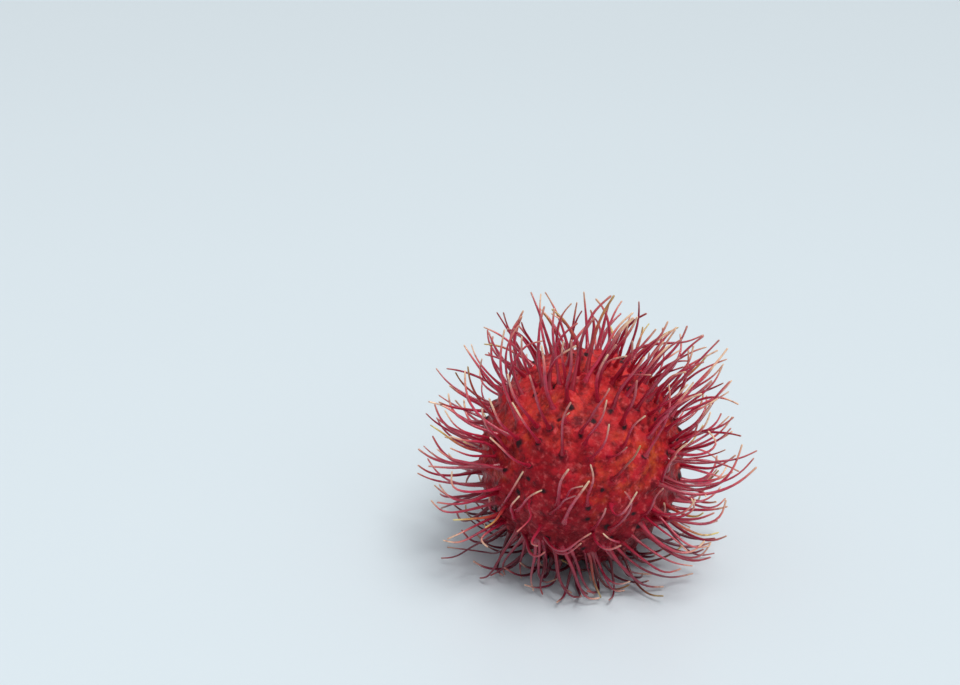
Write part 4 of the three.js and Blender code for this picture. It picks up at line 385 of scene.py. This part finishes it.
# ---- node helpers ------------------------------------------------------------------
class Nodes:
    def __init__(self, name):
        self.mat = bpy.data.materials.new(name); self.mat.use_nodes = True
        self.t = self.mat.node_tree; self.t.nodes.clear()
        self.out = self.t.nodes.new("ShaderNodeOutputMaterial")
        self.bsdf = self.t.nodes.new("ShaderNodeBsdfPrincipled")
        self.t.links.new(self.bsdf.outputs[0], self.out.inputs[0])
        self.co = self.t.nodes.new("ShaderNodeTexCoord").outputs["Object"]

    def link(self, a, b): self.t.links.new(a, b)

    def put(self, socket, v):
        if isinstance(v, bpy.types.NodeSocket): self.link(v, socket)
        else: socket.default_value = v

    def attr(self, name):
        n = self.t.nodes.new("ShaderNodeAttribute"); n.attribute_name = name
        return n.outputs["Fac"]

    def noise(self, scale, detail=3.0, rough=0.55, distort=0.0, co=None):
        n = self.t.nodes.new("ShaderNodeTexNoise")
        n.inputs["Scale"].default_value = scale; n.inputs["Detail"].default_value = detail
        n.inputs["Roughness"].default_value = rough; n.inputs["Distortion"].default_value = distort
        self.link(co or self.co, n.inputs["Vector"])
        return n.outputs["Fac"]

    def shifted(self, by):
        n = self.t.nodes.new("ShaderNodeVectorMath"); n.operation = "ADD"
        self.link(self.co, n.inputs[0]); n.inputs[1].default_value = (by, by, by)
        return n.outputs[0]

    def voronoi(self, scale, feature="F1", rand=1.0):
        n = self.t.nodes.new("ShaderNodeTexVoronoi"); n.feature = feature
        n.inputs["Scale"].default_value = scale; n.inputs["Randomness"].default_value = rand
        self.link(self.co, n.inputs["Vector"])
        return n.outputs["Distance"]

    def math(self, op, a, b=0.0, c=0.0, clamp=False):
        n = self.t.nodes.new("ShaderNodeMath"); n.operation = op; n.use_clamp = clamp
        self.put(n.inputs[0], a); self.put(n.inputs[1], b); self.put(n.inputs[2], c)
        return n.outputs[0]

    def range(self, v, a, b, c=0.0, d=1.0):
        n = self.t.nodes.new("ShaderNodeMapRange"); n.clamp = True; n.interpolation_type = "SMOOTHSTEP"
        self.put(n.inputs[0], v)
        for i, x in enumerate((a, b, c, d)): n.inputs[i + 1].default_value = x
        return n.outputs[0]

    def mix(self, f, a, b, mode="MIX"):
        n = self.t.nodes.new("ShaderNodeMix"); n.data_type = "RGBA"; n.blend_type = mode
        self.put(n.inputs[0], f)
        for i, x in ((6, a), (7, b)):
            if isinstance(x, bpy.types.NodeSocket): self.link(x, n.inputs[i])
            else: n.inputs[i].default_value = (*x, 1.0)
        return n.outputs[2]

    def ramp(self, f, stops):
        n = self.t.nodes.new("ShaderNodeValToRGB"); e = n.color_ramp.elements
        e[0].position, e[0].color = stops[0][0], (*stops[0][1], 1)
        e[1].position, e[1].color = stops[-1][0], (*stops[-1][1], 1)
        for p, c in stops[1:-1]:
            x = e.new(p); x.color = (*c, 1)
        self.link(f, n.inputs[0])
        return n.outputs[0]

    def bump(self, height, strength, distance, normal=None):
        n = self.t.nodes.new("ShaderNodeBump")
        n.inputs["Strength"].default_value = strength; n.inputs["Distance"].default_value = distance
        self.link(height, n.inputs["Height"])
        if normal is not None: self.link(normal, n.inputs["Normal"])
        return n.outputs[0]


# ---- materials ----------------------------------------------------------------------
def skin_material():
    m = Nodes("skin")
    red = m.mix(m.range(m.noise(230, 4, 0.6), 0.34, 0.66), (0.33, 0.005, 0.013), (0.565, 0.016, 0.030))
    orange = m.mix(m.range(m.noise(600, 3), 0.35, 0.65), (0.64, 0.040, 0.014), (0.70, 0.115, 0.026))
    col = m.mix(m.math("MULTIPLY", m.attr("warm"), m.range(m.noise(420, 4), 0.36, 0.60, 0.05, 0.88)), red, orange)
    # painted shade: the skin is darkened and turned purple towards the bottom of the fruit
    col = m.mix(m.attr("painted_shade_low"), col, m.mix(1.0, col, (0.31, 0.26, 0.42), "MULTIPLY"))
    # painted light: the upper skin is lightened to a brighter red, where the light from above falls
    col = m.mix(m.math("MULTIPLY", m.attr("top"), m.range(m.noise(330, 3), 0.30, 0.62, 0.22, 0.80)), col, (0.86, 0.052, 0.048))
    # painted shade: darker red on each root mound, round the spintern roots
    col = m.mix(m.math("MULTIPLY", m.attr("mound"), 0.55), col, (0.40, 0.008, 0.030))
    # mottling of the leathery skin: painted shade in dark creases round paler grains, which are painted wax-like
    # highlights
    col = m.mix(m.range(m.noise(480, 4, 0.58, 0.1), 0.44, 0.70, 0.0, 0.92), col, (0.12, 0.0025, 0.009))
    col = m.mix(m.range(m.noise(1000, 3, 0.55, 0.1, m.shifted(0.7)), 0.51, 0.76, 0.0, 0.58), col, (0.86, 0.145, 0.150))
    # painted shade: darker red in the grooves between the root mounds
    col = m.mix(m.math("MULTIPLY", m.attr("groove"), 0.20), col, (0.18, 0.004, 0.010))
    spot = m.math("ADD", m.attr("spot"), m.math("MULTIPLY", m.math("SUBTRACT", m.noise(1000, 4, 0.65), 0.5), 1.5))
    col = m.mix(m.range(spot, 0.0, 0.52, 0.0, 0.80), col, (0.10, 0.005, 0.012))
    col = m.mix(m.range(spot, 0.30, 0.80, 0.0, 0.95), col, (0.020, 0.009, 0.011))
    wood = m.mix(m.range(m.noise(1100, 4), 0.4, 0.65), (0.10, 0.045, 0.022), (0.36, 0.22, 0.12))
    col = m.mix(m.attr("scar"), col, wood)
    m.link(col, m.bsdf.inputs["Base Color"])
    rough = m.range(m.noise(1100, 3), 0.3, 0.7, 0.30, 0.50)
    m.link(rough, m.bsdf.inputs["Roughness"])
    m.bsdf.inputs["Specular IOR Level"].default_value = 0.13
    m.bsdf.inputs["Subsurface Weight"].default_value = 0.0
    b = m.bump(m.noise(620, 4, 0.6, 0.15), 0.9, 0.00050)
    b = m.bump(m.noise(1700, 3, 0.6, 0.1), 0.8, 0.00022, b)
    m.link(b, m.bsdf.inputs["Normal"])
    return m.mat


def spintern_material():
    m = Nodes("spintern")
    t = m.attr("along")
    kind = m.attr("kind")      # 0 pink, 1 yellow-green tip
    tone = m.attr("tone")      # differs from one spintern to the next
    shift = m.math("ADD", t, m.math("MULTIPLY", m.math("SUBTRACT", tone, 0.5), 0.24))
    shift = m.math("ADD", shift, m.math("MULTIPLY", m.math("SUBTRACT", m.noise(260, 2), 0.5), 0.20), clamp=True)
    pink = m.ramp(shift, [(0.0, (0.42, 0.008, 0.022)), (0.28, (0.51, 0.015, 0.052)), (0.68, (0.66, 0.044, 0.100)), (0.84, (0.84, 0.18, 0.17)), (1.0, (1.0, 0.66, 0.42))])
    green = m.ramp(shift, [(0.0, (0.42, 0.010, 0.024)), (0.34, (0.52, 0.030, 0.044)), (0.66, (0.62, 0.14, 0.060)), (0.86, (0.72, 0.44, 0.10)), (1.0, (0.84, 0.72, 0.26))])
    col = m.mix(kind, pink, green)
    col = m.mix(m.range(m.noise(1000, 3, 0.6, 0.4), 0.48, 0.68, 0.0, 0.65), col, m.mix(1.0, col, (0.42, 0.24, 0.40), "MULTIPLY"))
    col = m.mix(m.range(tone, 0.0, 1.0, 0.50, 0.0), col, (0.24, 0.005, 0.024))
    # painted shade: spinterns low down by the floor are darkened, less so at their tips
    col = m.mix(m.attr("painted_shade_low"), col, m.mix(1.0, col, (0.36, 0.24, 0.42), "MULTIPLY"))
    m.link(col, m.bsdf.inputs["Base Color"])
    m.bsdf.inputs["Roughness"].default_value = 0.30
    m.bsdf.inputs["Specular IOR Level"].default_value = 0.38
    m.bsdf.inputs["Coat Weight"].default_value = 0.62
    m.bsdf.inputs["Coat Roughness"].default_value = 0.11
    b = m.bump(m.noise(2000, 3, 0.6), 0.6, 0.00012)
    m.link(b, m.bsdf.inputs["Normal"])
    return m.mat


# ---- skin ------------------------------------------------------------------------------
def quad_sphere(n):
    """Six square patches on the unit sphere, sharing their edge points, with an atlas UV."""
    faces = [((1, 0, 0), (0, 1, 0), (0, 0, 1)), ((-1, 0, 0), (0, -1, 0), (0, 0, 1)), ((0, 1, 0), (-1, 0, 0), (0, 0, 1)),
             ((0, -1, 0), (1, 0, 0), (0, 0, 1)), ((0, 0, 1), (0, 1, 0), (-1, 0, 0)), ((0, 0, -1), (0, 1, 0), (1, 0, 0))]
    g = np.tan(np.linspace(-1, 1, n + 1) * math.pi / 4)
    pts, quads, uvs = [], [], []
    for k, (c, u, v) in enumerate(faces):
        a, b = np.meshgrid(g, g, indexing="ij")
        p = np.array(c)[None, None] + a[..., None] * np.array(u) + b[..., None] * np.array(v)
        pts.append((p / np.linalg.norm(p, axis=-1, keepdims=True)).reshape(-1, 3))
        idx = np.arange((n + 1) ** 2).reshape(n + 1, n + 1) + k * (n + 1) ** 2
        q = np.stack([idx[:-1, :-1], idx[1:, :-1], idx[1:, 1:], idx[:-1, 1:]], -1).reshape(-1, 4)
        quads.append(q)
        lu = np.linspace(0, 1, n + 1)
        U, V = np.meshgrid(lu, lu, indexing="ij")
        w = np.stack([((k % 3) + 0.01 + 0.98 * U) / 3, ((k // 3) + 0.01 + 0.98 * V) / 2], -1).reshape(-1, 2)
        uvs.append(w[q - k * (n + 1) ** 2].reshape(-1, 2))
    P = np.vstack(pts); Q = np.vstack(quads); UV = np.vstack(uvs)
    key = np.round(P * 1e6).astype(np.int64)
    _, first, inv = np.unique(key, axis=0, return_index=True, return_inverse=True)
    return P[first], inv.reshape(-1)[Q], UV


def nearest_two(P):
    """Distance to the nearest and second nearest root, and which is nearest."""
    d1 = np.empty(len(P)); d2 = np.empty(len(P)); who = np.empty(len(P), int)
    for a in range(0, len(P), 8192):
        D = np.linalg.norm(P[a:a + 8192, None] - ROOTS[None], axis=2)
        w = np.argpartition(D, 1, axis=1)[:, :2]
        x = np.take_along_axis(D, w, 1)
        o = np.argsort(x, axis=1)
        w = np.take_along_axis(w, o, 1); x = np.take_along_axis(x, o, 1)
        d1[a:a + 8192], d2[a:a + 8192], who[a:a + 8192] = x[:, 0], x[:, 1], w[:, 0]
    return d1, d2, who


def build_skin(material):
    Q, quads, uv = quad_sphere(132)
    # in body coordinates the first axis is the stem axis
    P = on_body(Q); N = skin_normal(Q)
    jig = np.stack([noise(P + o, 1.3) for o in (0, 37, 71)], 1) - 0.5
    d1, d2, who = nearest_two(P + 0.7 * jig)
    edge = d2 - d1
    groove = np.exp(-(edge / 0.55) ** 2) * smooth(d1, 0.8, 1.8)
    mound = np.exp(-(d1 / 1.05) ** 2)
    lean = np.array([s[0][1] - s[0][0] for s in spinterns]); lean /= np.linalg.norm(lean, axis=1, keepdims=True)
    thick = np.array([s[1] for s in spinterns])
    h = 0.42 * thick[who] * np.exp(-(d1 / 0.95) ** 2) + 0.30 * np.exp(-(d1 / 1.8) ** 2)
    h += 0.08 * smooth(edge, 0.0, 1.6)
    h -= 0.03 * groove
    h += 0.30 * (noise(P, 6.0) - 0.5) + 0.22 * (noise(P + 50, 2.4) - 0.5) + 0.15 * (noise(P + 9, 1.1) - 0.5) + 0.06 * (noise(P + 19, 0.6) - 0.5)
    # faint seam over the blossom end, from left to right
    seam = np.abs(Q[:, 2] + 0.10 + 0.05 * np.sin(Q[:, 1] * 5)) * HEIGHT_SEMI
    on = smooth(Q[:, 0], 0.55, 0.8) * smooth(-Q[:, 1], -0.25, 0.0)
    h -= 0.16 * np.exp(-(seam / 0.35) ** 2) * on
    h += 0.10 * np.exp(-((seam - 0.9) / 0.5) ** 2) * on
    # stalk scar
    sr = np.linalg.norm(Q[:, 1:] * SEMI[1:], axis=1)
    back = Q[:, 0] < 0
    rim = np.exp(-((sr - 2.2) / 0.55) ** 2) * 0.75 - 0.55 * np.exp(-(sr / 1.5) ** 2)
    crack = 0.25 * (noise(P, 0.7) - 0.5) * (sr < 3.2)
    h = np.where(back & (sr < 4.2), h * smooth(sr, 2.6, 4.2) + (rim + crack) * (1 - smooth(sr, 3.0, 4.2)), h)
    scar = np.where(back, 1 - smooth(sr + 0.6 * (noise(P, 0.8) - 0.5), 2.5, 3.1), 0)
    V = P + N * (h - 0.12)[:, None]
    # the mound leans the way its spintern goes
    V += lean[who] * (0.20 * mound)[:, None] * ~(back & (sr < 3.5))[:, None]
    V[:, 2] = np.maximum(V[:, 2], 0.0)
    # dark spots just above some roots
    up = np.array([0, 0, 1.0])
    spot = np.zeros(len(P))
    for x, y, z, w, t in SPOTS:
        w, t = 1.6 * w, 1.6 * t
        c = np.array([x, y, z]); n = skin_normal(in_body(c)); tang = unit(up - n * (up @ n))
        dv = P - c
        spot = np.maximum(spot, np.exp(-(dv @ np.cross(n, tang) / w) ** 2 - (dv @ tang / t) ** 2) * (np.einsum("ij,ij->i", dv, dv) < 9))
    pick = rng.random(len(ROOTS))
    for k in range(len(ROOTS)):
        if pick[k] > (0.0 if skin_normal(ROOT_Q[k]) @ SET_SIDE > 0.3 else 0.5): continue
        n = skin_normal(ROOT_Q[k]); tang = up - n * (up @ n); tang /= np.linalg.norm(tang) + 1e-6
        c = ROOTS[k] + tang * (0.55 + 0.35 * rng.random()) + np.cross(n, tang) * (rng.random() - 0.5) * 0.5
        s = 0.34 + 0.34 * rng.random()
        dv = P - c
        near = np.einsum("ij,ij->i", dv, dv) < 9
        x = dv[near] @ np.cross(n, tang); y = dv[near] @ tang
        spot[near] = np.maximum(spot[near], np.exp(-(x / s) ** 2 - (y / (s * 1.35)) ** 2))
    warm = 0.55 * smooth(noise(P + 21, 7.5), 0.46, 0.66) * smooth(V[:, 2], 9, 20)
    for x, y, z, w in WARM:
        warm = np.maximum(warm, np.exp(-(np.linalg.norm(P + 1.6 * (noise(P, 2.2) - 0.5)[:, None] - np.array([x, y, z]), axis=1) / w) ** 2))
    warm = warm * smooth(d1, 0.6, 1.4)
    # painted shade mask, strongest at the bottom of the fruit
    painted_shade_low = 1 - smooth(V[:, 2] + 3 * (noise(P + 5, 5.0) - 0.5), 4, 24)
    # painted light mask on the upper part of the fruit
    top = smooth(V[:, 2] + 3 * (noise(P + 9, 4.0) - 0.5), 23, 37)
    return make_mesh("skin", V, quads, uv, {"groove": groove, "mound": mound, "spot": spot, "warm": warm, "scar": scar, "painted_shade_low": painted_shade_low, "top": top}, material)


# ---- spinterns ---------------------------------------------------------------------------
SIDES, RINGS = 8, 20


def build_spinterns(name, which, material):
    V, Q, T, UV, along, kind, tone, painted_shade_low = [], [], [], [], [], [], [], []
    cols = 14; rows = math.ceil(len(which) / cols)
    base = 0
    quv, tuv = [], []
    for j, i in enumerate(which):
        pts, thick, yellow = spinterns[i]
        n0 = skin_normal(ROOT_Q[i])
        line = np.vstack([pts[0] - n0 * ROOT_DEPTH, pts])
        length = catmull(line, np.array([0.0, 1.0]))[1]
        s = np.r_[np.linspace(0, 1 - 0.42 / length, RINGS - 3) ** 0.95, 1 - 0.18 / length, 1 - 0.05 / length, 1]
        C = catmull(line, s)[0]
        r4 = rng.random(8)
        Tn = np.gradient(C, axis=0); Tn /= np.linalg.norm(Tn, axis=1, keepdims=True)
        A = np.zeros_like(C); a = np.cross(Tn[0], [0.3, 0.5, 0.8]); a /= np.linalg.norm(a)
        for k in range(RINGS):
            a = a - Tn[k] * (a @ Tn[k]); a /= np.linalg.norm(a); A[k] = a
        B = np.cross(Tn, A)
        # slight waviness along the length
        wave = 0.10 * np.sin(s * (5 + 4 * r4[0]) + 6.28 * r4[1]) * smooth(s, 0.1, 0.4)
        C = C + A * wave[:, None]
        mm = s * length
        above = np.maximum(mm - ROOT_DEPTH, 0)
        r = MID_R + (ROOT_R - MID_R) * np.exp(-above / 2.6) + (TIP_R - MID_R) * smooth(s, 0.45, 1.0)
        r = r + 0.36 * np.exp(-(above / 1.15) ** 1.4)
        r *= thick * (1 + 0.06 * np.sin(mm * 2.1 + 6 * r4[2]))
        ends = np.clip((1 - s) * length / 0.22, 0, 1)
        r *= np.sqrt(np.clip(1 - (1 - ends) ** 2, 0.06, 1))
        flat = 0.80 + 0.15 * r4[3]
        th = 2 * math.pi * np.arange(SIDES) / SIDES
        twist = 6.28 * r4[4] + s * (r4[5] - 0.5) * 3
        rib = 1 + 0.07 * np.cos(th * 2 + 6 * r4[6])[None] * (1 - s)[:, None]
        ca = np.cos(th[None] + twist[:, None]) * rib; sa = np.sin(th[None] + twist[:, None]) * rib * flat
        ring = C[:, None] + A[:, None] * (r[:, None] * ca)[..., None] + B[:, None] * (r[:, None] * sa)[..., None]
        ring[..., 2] = np.maximum(ring[..., 2], 0.03)
        V.append(ring.reshape(-1, 3)); V.append(C[:1]); V.append(C[-1:] + Tn[-1:] * 0.04)
        idx = base + np.arange(RINGS * SIDES).reshape(RINGS, SIDES)
        nx = np.roll(idx, -1, axis=1)
        q = np.stack([idx[:-1], nx[:-1], nx[1:], idx[1:]], -1).reshape(-1, 4); Q.append(q)
        b0, b1 = base + RINGS * SIDES, base + RINGS * SIDES + 1
        T.append(np.stack([nx[0], idx[0], np.full(SIDES, b0)], -1)); T.append(np.stack([idx[-1], nx[-1], np.full(SIDES, b1)], -1))
        cx, cy = (j % cols) / cols, (j // cols) / rows
        U0 = np.linspace(0.06, 0.94, SIDES + 1) / cols + cx; V0 = (0.03 + 0.94 * s) / rows + cy
        uq = np.empty((RINGS - 1, SIDES, 4, 2))
        uq[..., 0, 0] = U0[:-1]; uq[..., 1, 0] = U0[1:]; uq[..., 2, 0] = U0[1:]; uq[..., 3, 0] = U0[:-1]
        uq[..., 0, 1] = V0[:-1, None]; uq[..., 1, 1] = V0[:-1, None]; uq[..., 2, 1] = V0[1:, None]; uq[..., 3, 1] = V0[1:, None]
        quv.append(uq.reshape(-1, 2))
        for vv in (V0[0], V0[-1]):
            ut = np.empty((SIDES, 3, 2)); ut[:, 0, 0] = U0[:-1]; ut[:, 1, 0] = U0[1:]; ut[:, 2, 0] = (U0[:-1] + U0[1:]) / 2
            ut[..., 1] = vv; ut[:, 2, 1] = vv + (0.01 if vv is V0[-1] else -0.01) / rows
            tuv.append(ut.reshape(-1, 2))
        along.append(np.r_[np.repeat(s, SIDES), 0, 1]); kind.append(np.full(RINGS * SIDES + 2, float(yellow))); tone.append(np.full(RINGS * SIDES + 2, r4[7]))
        # painted shade mask on the spinterns, strongest low down by the floor
        painted_shade_low.append((1 - smooth(np.r_[np.repeat(C[:, 2], SIDES), C[0, 2], C[-1, 2]], 2, 13)) * (1 - 0.6 * smooth(along[-1], 0.75, 1.0)))
        base += RINGS * SIDES + 2
    # winding: Q faces outward when A x B = T
    return make_mesh(name, np.vstack(V), np.vstack(Q), np.vstack(quv + tuv), {"along": np.concatenate(along), "kind": np.concatenate(kind), "tone": np.concatenate(tone), "painted_shade_low": np.concatenate(painted_shade_low)}, material, tris=np.vstack(T))


skin_mat, hair_mat = skin_material(), spintern_material()
pieces = [build_skin(skin_mat)]
sector = np.where(ROOT_Q[:, 0] > 0.55, 0, np.where(ROOT_Q[:, 0] < -0.45, 3, np.where(ROOT_Q[:, 1] < 0, 1, 2)))
for k, name in enumerate(["spinterns_front", "spinterns_left", "spinterns_right", "spinterns_back"]):
    pieces.append(build_spinterns(name, np.nonzero(sector == k)[0], hair_mat))
for p in pieces:
    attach(p, "root"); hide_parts("rambutan")

# ---- floor, light, camera --------------------------------------------------------------------
fm = Nodes("floor")
fm.bsdf.inputs["Base Color"].default_value = (0.72, 0.80, 0.85, 1)
fm.bsdf.inputs["Roughness"].default_value = 0.22
fm.bsdf.inputs["Specular IOR Level"].default_value = 0.35
me = bpy.data.meshes.new("floor")
S = 3.0
me.from_pydata([(-S, -S, 0), (S, -S, 0), (S, S, 0), (-S, S, 0)], [], [(0, 1, 2, 3)])
floor = bpy.data.objects.new("floor", me); bpy.context.scene.collection.objects.link(floor)
me.materials.append(fm.mat)

world = bpy.data.worlds.new("studio"); bpy.context.scene.world = world
world.use_nodes = True
bg = world.node_tree.nodes["Background"]
bg.inputs[0].default_value = (0.90, 0.96, 1.0, 1); bg.inputs[1].default_value = 0.42


def sun(name, towards, strength, angle, colour):
    l = bpy.data.lights.new(name, "SUN"); l.energy = strength; l.angle = math.radians(angle); l.color = colour
    o = bpy.data.objects.new(name, l); bpy.context.scene.collection.objects.link(o)
    o.rotation_euler = Vector(towards).to_track_quat("-Z", "Y").to_euler()


sun("key", (-0.24, 0.14, -1.0), 1.62, 30, (1.0, 0.985, 0.96))
sun("glint", (-0.30, 0.42, -0.85), 0.45, 9, (1.0, 1.0, 1.0))
sun("fill", (-0.40, 0.60, -0.55), 0.30, 50, (1.0, 1.0, 1.0))

cam = bpy.data.cameras.new("camera"); cam.lens = 65; cam.sensor_width = 36; cam.sensor_fit = "HORIZONTAL"
cam.clip_start, cam.clip_end = 0.01, 10
co = bpy.data.objects.new("camera", cam); bpy.context.scene.collection.objects.link(co)
co.location = (-0.018065, -0.277816, 0.154191)
co.rotation_euler = (math.radians(67.5), 0, 0)
bpy.context.scene.camera = co
sc = bpy.context.scene
sc.view_settings.view_transform = "Standard"
sc.view_settings.look = "None"
sc.view_settings.exposure = 0.0

bpy.context.view_layer.update()
